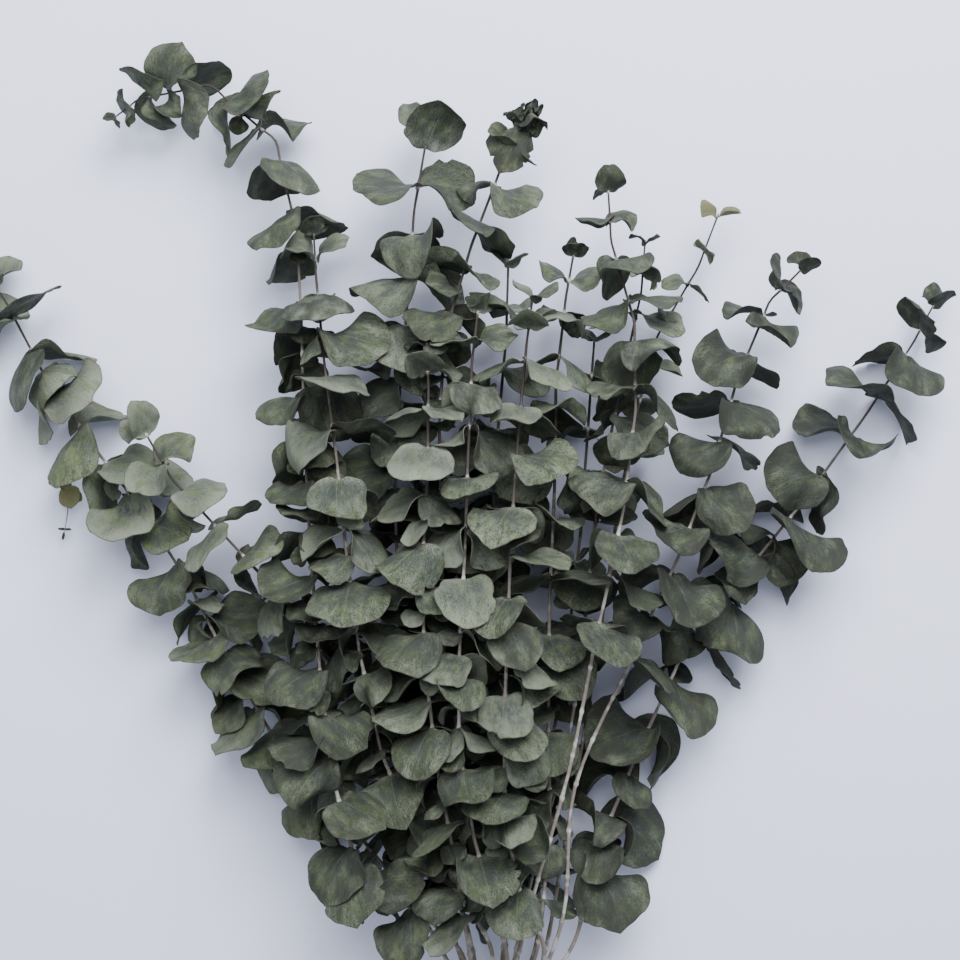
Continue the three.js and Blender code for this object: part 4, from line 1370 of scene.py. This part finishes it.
    def waves(self, leaf: Leaf, draws: Draws, cut: Cut, radius: Array) -> Array:
        """Returns how far each point stands off the smooth blade.

        Args:
            leaf: the leaf.
            draws: its stream of draws.
            cut: its grid.
            radius: 0 in the middle of the grid and 1 on its rim.

        Returns:
            The lift of each point, in millimetres.
        """
        size = leaf.length / self.full_length
        crumpled = leaf.kind is LeafKind.CRUMPLED
        wavy = self.ruffled_waviness if leaf.kind is LeafKind.RUFFLED else self.plain_waviness
        angle = np.arctan2(cut.y, cut.x)
        lift = draws.between(self.cup) * size * radius**2
        for lobes in self.margin_lobes:
            height = draws.between(self.margin_wave) * size * wavy / lobes
            lift += height * radius**3 * np.sin(lobes * angle + draws.turn())
        rolled = np.maximum(0, np.cos(angle - draws.between(self.rolled_towards))) ** 2
        outer = np.maximum(0, (radius - self.rolled_from) / (1 - self.rolled_from)) ** 2
        lift += draws.between(self.rolled_margin) * size * rolled * outer
        for number in range(self.inner_waves):
            turn = draws.turn()
            length = draws.between(self.crumpled_wave_length if crumpled else self.wave_length[number % 2])
            height = draws.between(self.inner_wave) * size * (self.crumple if crumpled else length)
            run = (cut.x * math.cos(turn) + cut.y * math.sin(turn)) * math.pi / length
            lift += height * np.sin(run + draws.turn())
        return lift * smooth(np.hypot(cut.x + 1, cut.y) / self.flat_near_root)

    def creased(
        self, leaf: Leaf, draws: Draws, x: Array, y: Array, lift: Array
    ) -> tuple[Array, Array, Array]:
        """Folds corners of the blade over along straight creases.

        Args:
            leaf: the leaf.
            draws: its stream of draws.
            x: place of each point on the grid along the leaf.
            y: its place across.
            lift: how far it is raised, in millimetres.

        Returns:
            The new places along and across, and the new lift.
        """
        half = leaf.length / 2
        chances = {LeafKind.CRUMPLED: (1.0, 1.0), LeafKind.RUFFLED: ()}
        for chance in chances.get(leaf.kind, self.crease_chances):
            towards = draws.between(self.crease_towards)
            place = draws.between(self.crease_place)
            turned = math.radians(draws.between(self.crease_turn))
            over = draws.between(self.crease_side)
            if draws.chance() > chance:
                continue
            beyond = x * math.cos(towards) + y * math.sin(towards) - place
            beyond = (beyond + np.sqrt(beyond**2 + self.crease_softness**2)) / 2
            lift = lift + beyond * half * math.sin(turned) * math.copysign(1.0, over)
            x = x - beyond * (1 - math.cos(turned)) * math.cos(towards)
            y = y - beyond * (1 - math.cos(turned)) * math.sin(towards)
        return x, y, lift


@dataclass(frozen=True)
class LeafColouring:
    """Gives each leaf the numbers that its finish reads: how dusty, olive, dark and yellow it is."""

    # Painted shade and light: leaves further from the tip, towards the tie, are darkened, and those near the
    # tip get extra dust that lightens them.
    tie_shade_from: float = 110.0
    tie_shade_over: float = 180.0
    tip_light_dust: float = 0.45
    tie_shade_dark: float = 0.24
    olive_spread: Pair = (0.5, 1.5)
    dark_spread: Pair = (0.1, 0.8)
    dark_bend: float = 1.4
    tip_over: float = 45.0
    yellow_at_tip: float = 0.55
    dark_at_tip: float = 0.6
    small_leaf: float = 14.0
    scorched_within: float = 95.0
    scorched_dark: Pair = (0.2, 0.5)
    crumpled_dark: Pair = (0.62, 0.9)
    ruffled_dark: float = 0.62
    ruffled_olive: float = 0.8
    pale_yellow: float = 0.8

    def numbers(self, growth: Growth, leaf: Leaf) -> dict[str, float]:
        """Draws the numbers of one leaf.

        Args:
            growth: how its stem dried.
            leaf: the leaf.

        Returns:
            The numbers by name, each between 0 and 1.
        """
        draws = Stream.COLOUR.draws(leaf.seed)
        olive, share_dark, dusty, least_dark = growth.value
        # Painted shade grows towards the tie, and painted light near the tip comes as extra dust.
        tie_shade = smooth((leaf.distance - self.tie_shade_from) / self.tie_shade_over)
        tint = min(1.0, (draws.chance() + self.tip_light_dust * (1 - tie_shade)) * dusty)
        olive = min(1.0, olive * draws.between(self.olive_spread))
        # The dark share and the least darkness are partly the leaves' own scorched tone and partly painted
        # shade.
        dark = draws.between(self.dark_spread) ** self.dark_bend if draws.chance() < share_dark else 0.0
        dark = max(dark, least_dark + (self.tie_shade_dark - least_dark / 2) * tie_shade)
        near_tip = max(0.0, 1 - leaf.distance / self.tip_over)
        yellow = 0.0
        if growth is Growth.YELLOW_TIPPED:
            yellow = self.yellow_at_tip * near_tip
        elif leaf.length < self.small_leaf:
            dark = max(dark, self.dark_at_tip * near_tip)
        if growth is Growth.SCORCHED_TIP and leaf.distance < self.scorched_within:
            dark = draws.between(self.scorched_dark)
        if leaf.kind is LeafKind.PALE:
            yellow, dark = self.pale_yellow, 0.0
        elif leaf.kind is LeafKind.CRUMPLED:
            dark = draws.between(self.crumpled_dark)
        elif leaf.kind is LeafKind.RUFFLED:
            dark, olive = self.ruffled_dark, self.ruffled_olive
        return {"tint": tint, "olive": olive, "dark": dark, "yellow": yellow}


@dataclass
class LeafyStem:
    """A leafy stem dressed: a round twig with swollen joints, and its leaves."""

    course: Course
    leaves: list[Leaf]
    shoot: "HangingShoot | None" = None
    twig_sides: int = 8
    twig_step: float = 4.0
    tip_places: tuple[float, ...] = (0.0, 0.6, 1.4)
    steps_from: float = 2.5
    round_joints: tuple[float, ...] = (-2.0, -1.0, 0.0, 1.0, 2.0)
    closest: float = 0.45
    closest_bends: float = 5.0
    steps_per_bend: int = 6
    lies_at: float = 0.05
    swelling: float = 0.42
    swelling_reach: float = 1.3
    slim_share: float = 0.7
    full_share: float = 0.95
    thickens_over: float = 120.0
    tip_taper: Pair = (0.35, 0.8)
    slow_wave: Pair = (0.05, 5.1)
    quick_wave: Pair = (0.04, 2.3)
    wave_shift: Pair = (0.0, 6.0)
    on_rim: float = 0.999

    def joints(self) -> list[float]:
        """Returns the distances from the tip of the joints, of which the lower ones are bare."""
        joints = list(self.course.pairs)
        gap = PAIR_GAP + PAIR_GAP_PER_LEAF_LENGTH * self.course.stem.leaf[0]
        while joints[-1] + gap < self.course.total - gap:
            joints.append(joints[-1] + gap)
        return joints

    def twig_line(self) -> Array:
        """Returns the points of the twig's middle line, from the tip down."""
        rings = (ring.distance for ring in self.course.rings[1:])
        kept = [0.0]
        for distance in sorted({*self.course.pairs, *rings}):
            if distance - kept[-1] > self.closest_bends:
                kept.append(distance)
        kept[-1] = self.course.total
        guides = np.array([self.course.centre_at(distance) for distance in kept])
        return centripetal(guides, self.steps_per_bend)

    def twig_places(self, joints: Array, total: float) -> Array:
        """Returns where along the twig its sections stand. Args: joints, their places; total, its length."""
        places = {*self.tip_places, total, *np.arange(self.steps_from, total - 1, self.twig_step)}
        places |= {joint + shift for joint in joints for shift in self.round_joints}
        kept = [0.0]
        for place in sorted(place for place in places if 0 <= place <= total):
            if place - kept[-1] > self.closest:
                kept.append(place)
        return np.array(kept)

    def twig_radii(self, places: Array, near_joint: Array) -> Array:
        """Returns the radius of each section. Args: places; near_joint, 1 at a joint and 0 away from all."""
        radii = np.array([self.course.radius_at(min(place, self.course.total)) for place in places])
        lower = smooth((places - self.course.into_tie + self.thickens_over) / self.thickens_over)
        radii *= self.slim_share + (self.full_share - self.slim_share) * lower
        shift = Stream.TWIG.draws(self.course.number).between(self.wave_shift)
        (slow, slow_length), (quick, quick_length) = self.slow_wave, self.quick_wave
        uneven = 1 + slow * np.sin(places / slow_length + shift) + quick * np.sin(places / quick_length)
        radii = radii * uneven * (1 + self.swelling * near_joint)
        radii[:2] *= self.tip_taper
        return radii

    def build_twig(self, finish: bpy.types.Material) -> bpy.types.Object:
        """Builds the twig, with the shoot that hangs from it.

        Args:
            finish: its material.

        Returns:
            The twig.
        """
        line = self.twig_line()
        total = travelled(line)[-1]
        joints = np.array(self.joints()) * total / self.course.total
        places = self.twig_places(joints, total)
        near = bell(places[:, None], joints, self.swelling_reach).max(axis=1)
        radii = self.twig_radii(places, near)
        shells = [sweep(points_at(line, places)[::-1], radii[::-1], self.twig_sides)]
        downward = places[::-1]
        rows = {"age": downward / total, "joint": near[::-1], "cut": downward >= total}
        if self.shoot:
            shells.append(self.shoot.shell(self.twig_sides))
            shares = {"age": self.shoot.age, "joint": 0.0, "cut": 0.0}
            count = len(self.shoot.line())
            rows = {name: np.concatenate([row, np.full(count, shares[name])]) for name, row in rows.items()}
        points, faces = joined(shells)
        values = {name: np.repeat(row, self.twig_sides) for name, row in rows.items()}
        name = self.course.stem.name.replace("stem", "twig")
        return make_piece(name, (resting(points, self.lies_at), faces), finish, values)

    def build_leaves(self, shape: LeafShape, finish: bpy.types.Material) -> bpy.types.Object:
        """Builds all leaves of the stem as one piece.

        Args:
            shape: what gives each leaf its form.
            finish: their material.

        Returns:
            The leaves.
        """
        colouring = LeafColouring()
        shells: list[Shell] = []
        rows: dict[str, list[Array]] = {}
        for leaf in self.leaves:
            shell, values = shape.build(leaf)
            shells.append(shell)
            for name, number in colouring.numbers(self.course.stem.growth, leaf).items():
                values[name] = np.full(len(shell[0]), number)
            for name, row in values.items():
                rows.setdefault(name, []).append(row)
        joined_rows = {name: np.concatenate(parts) for name, parts in rows.items()}
        name = self.course.stem.name.replace("stem", "leaves")
        made = make_piece(name, joined(shells), finish, joined_rows)
        self.sharpen_rims(made, joined_rows["rim"])
        return made

    def sharpen_rims(self, made: bpy.types.Object, rim: Array) -> None:
        """Shades each face of a leaf apart from its edge. Args: made, the leaves; rim, of each vertex."""
        edges = np.empty(len(made.data.edges) * 2, np.int32)
        made.data.edges.foreach_get("vertices", edges)
        on_rim = rim[edges.reshape(-1, 2)].min(axis=1) > self.on_rim
        sharp = made.data.attributes.new("sharp_edge", "BOOLEAN", "EDGE")
        sharp.data.foreach_set("value", on_rim)


@dataclass
class Filling:
    """Sets more leaves in the gaps: between two pairs, and where the solid lacks a leaf."""

    room: Room
    lowest: float = 0.8
    highest: float = 115.0
    tries: int = 16
    curled_share: float = 0.34
    bare_tip: float = 15.0
    looser_lean: float = 1.5
    shrink_per_try: float = 0.045
    length_share: Pair = (0.8, 1.02)
    root_reach: float = 0.6
    seeds_per_stem: int = 1009
    seeds_per_leaf: int = 23
    first_seed: int = 777
    lacking_seed: int = 500

    def fill(self, course: Course, found: list[Leaf], lacking: list[tuple[int, int]]) -> list[Leaf]:
        """Fills one stem.

        Args:
            course: the stem's line.
            found: the leaves that its solid carries; not used.
            lacking: the pair and half of the leaves that it lacks.

        Returns:
            The leaves that were added.
        """
        added = []
        for pair, half in lacking:
            distance = course.pairs[pair]
            seed = self.lacking_seed + pair * 2 + half
            added.append(self.place(course, distance, pair + 2 * half, seed))
        draws = Stream.FILLING.draws(course.number)
        for pair in range(1, len(course.pairs) - 1):
            distance = (course.pairs[pair] + course.pairs[pair + 1]) / 2
            share = course.stem.filled * smooth((distance - self.bare_tip) / course.stem.filled_over)
            if draws.chance() > share or course.stem.hanging(distance):
                continue
            for half in (0, 1):
                added.append(self.place(course, distance, pair + 0.5 + 2 * half, pair * 2 + half))
        return [leaf for leaf in added if leaf]

    def place(self, course: Course, distance: float, side: float, seed: int) -> Leaf | None:
        """Tries ways for one more leaf to hang.

        Args:
            course: the stem's line.
            distance: its distance from the tip.
            side: the side of the stem that it grows from, of four, or between two.
            seed: a number of its own.

        Returns:
            The first that is clear, or on a stem that turns its leaves up the one that shows most of its
            face, or None where there is no room.
        """
        drawn = (self.draw(course, distance, side, seed, attempt) for attempt in range(self.tries))
        clear = (leaf for leaf in drawn if self.room.is_clear(leaf, self.lowest, self.highest))
        if course.stem.face_up > 1:
            leaf = max(clear, key=self.room.shown, default=None)
        else:
            leaf = next(clear, None)
        if leaf:
            self.room.take(leaf)
        return leaf

    def draw(self, course: Course, distance: float, side: float, seed: int, attempt: int) -> Leaf:
        """Draws one way for a leaf to hang, as the solids' own rule does.

        Args:
            course: the stem's line.
            distance: its distance from the tip.
            side: the side of the stem that it grows from, of four, or between two.
            seed: a number of its own.
            attempt: number of the try.

        Returns:
            The leaf.
        """
        own_seed = (course.number * self.seeds_per_stem + seed) * self.seeds_per_leaf
        own_seed += attempt + self.first_seed
        draws = Draws(own_seed)
        stretch = course.stretch_at(distance)
        centre = course.centre_at(distance)
        growth = unit(stretch.upper.centre() - stretch.lower.centre())
        corners = [stretch.on_side(k, 0.5, stretch.rise) - centre for k in range(STEM_SIDES)]
        turn = side * math.pi / 2
        facing = unit(corners[0]) * math.cos(turn) + unit(corners[1]) * math.sin(turn)
        facing = unit(facing - growth * facing.dot(growth))
        sideways = np.cross(growth, facing)
        lean = math.radians(draws.between(SIDEWAYS_LEAN) * self.looser_lean)
        out = facing * math.cos(lean) + sideways * math.sin(lean)
        across = np.cross(growth, out)
        shrink = 1 - self.shrink_per_try * attempt
        length = course.leaf_length_at(distance) * draws.between(self.length_share) * shrink
        folds = draw_folds(draws, self.curled_share)
        width = length * draws.between(WIDTH_SHARE)
        hang = draw_hang(course, distance, across, draws, attempt)
        root = centre + out * course.radius_at(distance) * self.root_reach
        return Leaf(
            LeafKind.FILLED_IN, distance, root, growth, out, across, length, width, *hang, folds, own_seed
        )


@dataclass(frozen=True)
class HangingShoot:
    """A thin bare shoot that hangs from a stem, with a few pale leaves and a starry tip.

    Each leaf says on which point of the line it sits, where it points, its length, its width and its kind.
    """

    stem: str = "stem_far_left"
    radius: float = 0.6
    age: float = 0.3
    route: tuple[Place, ...] = (
        (-247, 385, 27), (-257, 374, 17), (-262, 358, 11), (-263, 341, 9), (-266, 324, 8),
    )
    steps: int = 6
    distance: float = 3.8
    hang: Hang = (76.0, 20.0, 0.0)
    folds: Pair = (-20.0, 24.0)
    first_seed: int = 6100
    placed: tuple[tuple[int, Pair, float, float, LeafKind], ...] = (
        (13, (0.2, -1.0), 12.5, 16.0, LeafKind.PALE),
        (13, (-0.8, 0.9), 8.5, 8.0, LeafKind.PALE),
        (14, (1.0, -0.5), 10.0, 9.0, LeafKind.PALE),
        (22, (-1.0, 0.1), 4.4, 1.5, LeafKind.GROWN),
        (22, (1.0, 0.0), 4.4, 1.5, LeafKind.GROWN),
        (23, (-0.2, -1.0), 4.0, 1.5, LeafKind.GROWN),
    )

    def line(self) -> Array:
        """Returns the points of its middle line."""
        return centripetal(np.array(self.route, float), self.steps)

    def shell(self, sides: int) -> Shell:
        """Returns the mesh of its twig. Args: sides, corners of its section."""
        line = self.line()
        return sweep(line, np.linspace(self.radius, self.radius / 2, len(line)), sides)

    def leaves(self) -> list[Leaf]:
        """Returns its leaves."""
        line = self.line()
        hang, folds = np.radians(self.hang), tuple(np.radians(self.folds))
        made = []
        for number, (place, towards, length, width, kind) in enumerate(self.placed):
            growth = unit(np.array([-towards[0], -towards[1], 0.0]))
            across = np.cross(growth, UP)
            made.append(
                Leaf(
                    kind, self.distance, line[place], growth, UP, across, length, width, *hang, folds,
                    self.first_seed + number,
                )
            )
        return made

    def take_room(self, room: Room) -> None:
        """Takes up the space of the shoot and its leaves."""
        line = self.line()
        room.add(*sweep(line, np.full(len(line), self.radius), STEM_SIDES))
        for leaf in self.leaves():
            room.take(leaf)


# ---------- The tie ----------


@dataclass
class Tie:
    """The wound twine: its turns, the knot on top and two frayed ends."""

    strand_radius: float = 1.16
    end_taper: float = 0.6
    step: float = 0.7
    plies: int = 3
    ply_pitch: float = 7.5
    sides: int = 10
    lies_at: float = 0.03
    steps_per_turn: int = 40
    looseness: float = 1.02
    knot_steps: int = 60
    knot_reach: Place = (1.25, 0.95, 1.1)
    knot_height: float = TIE_CENTRE_HEIGHT + TIE_OUTER_RADIUS + 1.1
    tail: tuple[Place, ...] = (
        (0, 0, 28), (7, -3, 28.4), (13, -7, 25.5), (17, -10, 19.5), (18.5, -12, 12),
    )
    tail_steps: int = 10
    frays: int = 9
    fray_lean: Pair = (-0.5, 0.5)
    fray_length: Pair = (1.5, 4.0)
    fray_radius: Pair = (0.16, 0.05)
    fray_steps: int = 5
    fray_sides: int = 4

    def strand(self, route: Array) -> tuple[Shell, Array]:
        """Sweeps a twisted strand that narrows at both ends.

        Args:
            route: points of its line.

        Returns:
            Its mesh, and how far each vertex stands out of the grooves.
        """
        length = travelled(route)[-1]
        line = points_at(route, np.linspace(0, length, int(length / self.step)))
        radii = np.full(len(line), self.strand_radius)
        radii[[0, -1]] *= self.end_taper
        vertices, faces = sweep(line, radii, self.sides, self.plies, self.ply_pitch)
        stand = np.linalg.norm(vertices - np.repeat(line, self.sides, axis=0), axis=1) / self.strand_radius
        return (vertices, faces), np.clip((stand - 1 + PLY_DEPTH) / PLY_DEPTH, 0, 1)

    def winding(self) -> Array:
        """Returns the line of the turns round the bundle."""
        turns = np.linspace(0, TWINE_TURNS * FULL_TURN, TWINE_TURNS * self.steps_per_turn)
        radius = TIE_INNER_RADIUS + TWINE_THICKNESS / 2
        width = TWINE_THICKNESS * (TWINE_TURNS - 1) * self.looseness
        across = width * (turns / turns[-1] - 0.5)
        return np.column_stack([radius * np.sin(turns), across, TIE_CENTRE_HEIGHT + radius * np.cos(turns)])

    def knot(self) -> Array:
        """Returns the line of the knot, a trefoil."""
        turn = np.linspace(0, FULL_TURN, self.knot_steps)
        rows = (np.sin(turn) + 2 * np.sin(2 * turn), np.cos(turn) - 2 * np.cos(2 * turn), -np.sin(3 * turn))
        return np.column_stack(rows) * self.knot_reach + (0.0, 0.0, self.knot_height)

    def fray(self, end: Array, direction: Array, number: int) -> list[tuple[Shell, Array]]:
        """Makes loose fibres at an end of the twine.

        Args:
            end: the end's place.
            direction: where the twine points there.
            number: the number of its stream of draws.

        Returns:
            The mesh of each fibre, and 1 for each of its vertices.
        """
        draws = Stream.FRAYED.draws(number)
        radii = np.linspace(*self.fray_radius, self.fray_steps)
        share = np.linspace(0, 1, self.fray_steps)[:, None]
        made = []
        for _ in range(self.frays):
            lean = np.array([draws.between(self.fray_lean) for _ in range(3)])
            reach = draws.between(self.fray_length)
            shell = sweep(end + (direction + lean * share) * reach * share, radii, self.fray_sides)
            made.append((shell, np.ones(len(shell[0]))))
        return made

    def build(self, finish: bpy.types.Material) -> bpy.types.Object:
        """Builds the tie.

        Args:
            finish: its material.

        Returns:
            The tie.
        """
        parts = [self.strand(self.winding()), self.strand(self.knot())]
        for mirror in (1, -1):
            route = centripetal(np.array(self.tail, float) * (mirror, 1, 1), self.tail_steps)
            parts.append(self.strand(route))
            parts += self.fray(route[-1], unit(route[-1] - route[-4]), mirror)
        points, faces = joined([shell for shell, _ in parts])
        ridge = np.concatenate([stand for _, stand in parts])
        return make_piece("tie_twine", (resting(points, self.lies_at), faces), finish, {"ridge": ridge})


# ---------- The whole bunch ----------


def stand_for(piece: bpy.types.Object, node: str) -> None:
    """Lets a piece take the place of a solid. Args: piece; node, the solid."""
    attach(piece, "root")
    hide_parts(node)


@dataclass(frozen=True)
class CrumpledTip:
    """The scorched tip of one stem: a cluster of crumpled leaves with a broad one in front."""

    stem: str = "stem_dark_tip"
    within: float = 17.0
    reach: float = 5.0
    first: float = 0.5
    added: int = 11
    first_seed: int = 900
    golden_turn: float = 2.4
    length: Pair = (11.0, 17.0)
    width_share: Pair = (0.8, 1.1)
    start: Pair = (-95.0, -25.0)
    droop: Pair = (0.0, 110.0)
    roll: Pair = (-60.0, 60.0)
    fold: Pair = (-80.0, 60.0)
    broad_distance: float = 5.0
    broad_seed: int = 940
    broad_size: Pair = (30.0, 29.0)
    broad_hang: Hang = (40.0, 62.0, -12.0)
    broad_folds: Pair = (-14.0, -24.0)

    def crumple(self, course: Course, filling: Filling, leaves: list[Leaf]) -> None:
        """Turns the leaves at the tip into the cluster.

        Args:
            course: the stem's line.
            filling: what draws leaves.
            leaves: the stem's leaves, to which more are added.
        """
        for leaf in leaves:
            if leaf.distance < self.within:
                leaf.kind = LeafKind.CRUMPLED
        for number in range(self.added):
            draws = Stream.CRUMPLED.draws(number)
            distance = self.first + self.reach * number / self.added
            leaf = filling.draw(course, distance, number * self.golden_turn, self.first_seed + number, 0)
            leaf.kind = LeafKind.CRUMPLED
            leaf.length = draws.between(self.length)
            leaf.width = leaf.length * draws.between(self.width_share)
            spans = (self.start, self.droop, self.roll, self.fold, self.fold)
            leaf.start, leaf.droop, leaf.roll, *folds = (math.radians(draws.between(span)) for span in spans)
            leaf.folds = tuple(folds)
            leaves.append(leaf)
        leaves.append(self.broad_leaf(course, filling))

    def broad_leaf(self, course: Course, filling: Filling) -> Leaf:
        """Returns the broad leaf in front, with its face up. Args: course; filling, which draws it."""
        leaf = filling.draw(course, self.broad_distance, 0.0, self.broad_seed, 0)
        leaf.kind = LeafKind.RUFFLED
        leaf.length, leaf.width = self.broad_size
        leaf.out = UP
        leaf.growth = unit(leaf.growth - UP * leaf.growth[2])
        leaf.across = np.cross(leaf.growth, leaf.out)
        leaf.start, leaf.droop, leaf.roll = np.radians(self.broad_hang)
        leaf.folds = tuple(np.radians(self.broad_folds))
        return leaf


@dataclass
class Bunch:
    """All leafy stems and the tie."""

    room: Room = field(default_factory=Room)
    shape: LeafShape = field(default_factory=LeafShape)
    shoot: HangingShoot = HangingShoot()
    crumpled_tip: CrumpledTip = CrumpledTip()
    stem_samples: int = 60
    stem_share: float = 0.55

    def take_room(self, course: Course) -> tuple[list[Leaf], list[tuple[int, int]]]:
        """Takes up the space of a stem and of the leaves on its solid.

        Args:
            course: the stem's line.

        Returns:
            The leaves that the solid carries, and the pair and half of those that it lacks.
        """
        distances = np.linspace(0, course.total, self.stem_samples)
        line = np.array([course.centre_at(distance) for distance in distances])
        radii = np.array([course.radius_at(distance) for distance in distances]) * self.stem_share
        self.room.add(*sweep(line[::-1], radii[::-1], STEM_SIDES))
        found, lacking = GrownLeaves(course).find()
        for leaf in found:
            self.room.take(leaf)
        log.info("%s: %d leaves found, %d lacking", course.stem.name, len(found), len(lacking))
        return found, lacking

    def build(self) -> list[bpy.types.Object]:
        """Builds every stem and the tie. Returns the pieces."""
        courses = [Course(stem, number) for number, stem in enumerate(STEMS)]
        grown = [self.take_room(course) for course in courses]
        self.shoot.take_room(self.room)
        filling = Filling(self.room)
        leaf_finish = LeafFinish().material()
        twig_finish = TwigFinish().material()
        pieces = []
        for course, (found, lacking) in zip(courses, grown):
            added = filling.fill(course, found, lacking)
            leaves = found + added
            if course.stem.name == self.crumpled_tip.stem:
                self.crumpled_tip.crumple(course, filling, leaves)
            shoot = self.shoot if course.stem.name == self.shoot.stem else None
            if shoot:
                leaves += shoot.leaves()
            dressed = LeafyStem(course, leaves, shoot)
            twig = dressed.build_twig(twig_finish)
            foliage = dressed.build_leaves(self.shape, leaf_finish)
            stand_for(twig, course.stem.name)
            stand_for(foliage, course.stem.name)
            pieces += [twig, foliage]
            log.info("%s: %d leaves, %d of them added", course.stem.name, len(leaves), len(added))
        tie = Tie().build(TwineFinish().material())
        stand_for(tie, "tie")
        log.info("tie: %d faces", len(tie.data.polygons))
        return [*pieces, tie]


@dataclass(frozen=True)
class Lamp:
    """A soft square light: its name, its place and size in metres, and its power in watts."""

    name: str
    place: Place
    size: float
    power: float


@dataclass
class Studio:
    """A pale floor, soft light from above the tips and a camera that looks straight down."""

    floor_size: float = 8.0
    floor_drop: float = 0.0004
    lamps: tuple[Lamp, ...] = (
        Lamp("key_light", (0.4, 1.45, 1.2), 0.9, 41.0),
        Lamp("fill_light", (-0.1, 0.85, 1.15), 0.7, 14.0),
    )
    air: Colour = (0.88, 0.92, 0.98)
    air_strength: float = 0.8
    view_centre: Pair = (-0.009, 0.36)
    view_height: float = 0.04
    view_width: float = 0.576
    camera_distance: float = 1.15
    sensor: float = 36.0
    clip: Pair = (0.05, 20.0)

    def build(self) -> None:
        """Builds the floor, the lights and the camera."""
        self.build_floor()
        for lamp in self.lamps:
            self.build_light(lamp)
        self.build_world()
        self.build_camera()

    def build_floor(self) -> None:
        """Builds the floor."""
        half = self.floor_size / 2 / MM
        low = -self.floor_drop / MM
        corners = [(-half, -half, low), (half, -half, low), (half, half, low), (-half, half, low)]
        shell = (np.array(corners), [(0, 1, 2, 3)])
        floor = make_piece("floor", shell, FloorFinish().material(), {}, rounded=False)

    def build_light(self, lamp: Lamp) -> None:
        """Builds a light that points at the bunch."""
        data = bpy.data.lights.new(lamp.name, "AREA")
        data.size = lamp.size
        data.energy = lamp.power
        light = bpy.data.objects.new(lamp.name, data)
        light.location = lamp.place
        aim = Vector((*self.view_centre, 0.0)) - light.location
        light.rotation_euler = aim.to_track_quat("-Z", "Y").to_euler()
        bpy.context.scene.collection.objects.link(light)

    def build_world(self) -> None:
        """Gives the surroundings an even pale light."""
        world = bpy.data.worlds.new("pale_room")
        world.use_nodes = True
        background = world.node_tree.nodes["Background"]
        background.inputs["Color"].default_value = (*self.air, 1.0)
        background.inputs["Strength"].default_value = self.air_strength
        bpy.context.scene.world = world

    def build_camera(self) -> None:
        """Builds the camera."""
        data = bpy.data.cameras.new("camera")
        data.sensor_width = self.sensor
        data.lens = self.sensor * self.camera_distance / self.view_width
        data.clip_start, data.clip_end = self.clip
        camera = bpy.data.objects.new("camera", data)
        camera.location = (*self.view_centre, self.view_height + self.camera_distance)
        bpy.context.scene.collection.objects.link(camera)
        bpy.context.scene.camera = camera


def main() -> None:
    """Builds the bunch and the studio, and reports each piece."""
    logging.basicConfig(level=logging.INFO, format="%(name)s %(message)s")
    pieces = Bunch().build()
    Studio().build()
    faces = sum(len(piece.data.polygons) for piece in pieces)
    log.info("%d pieces, %d faces", len(pieces), faces)


if __name__ == "__main__":
    main()
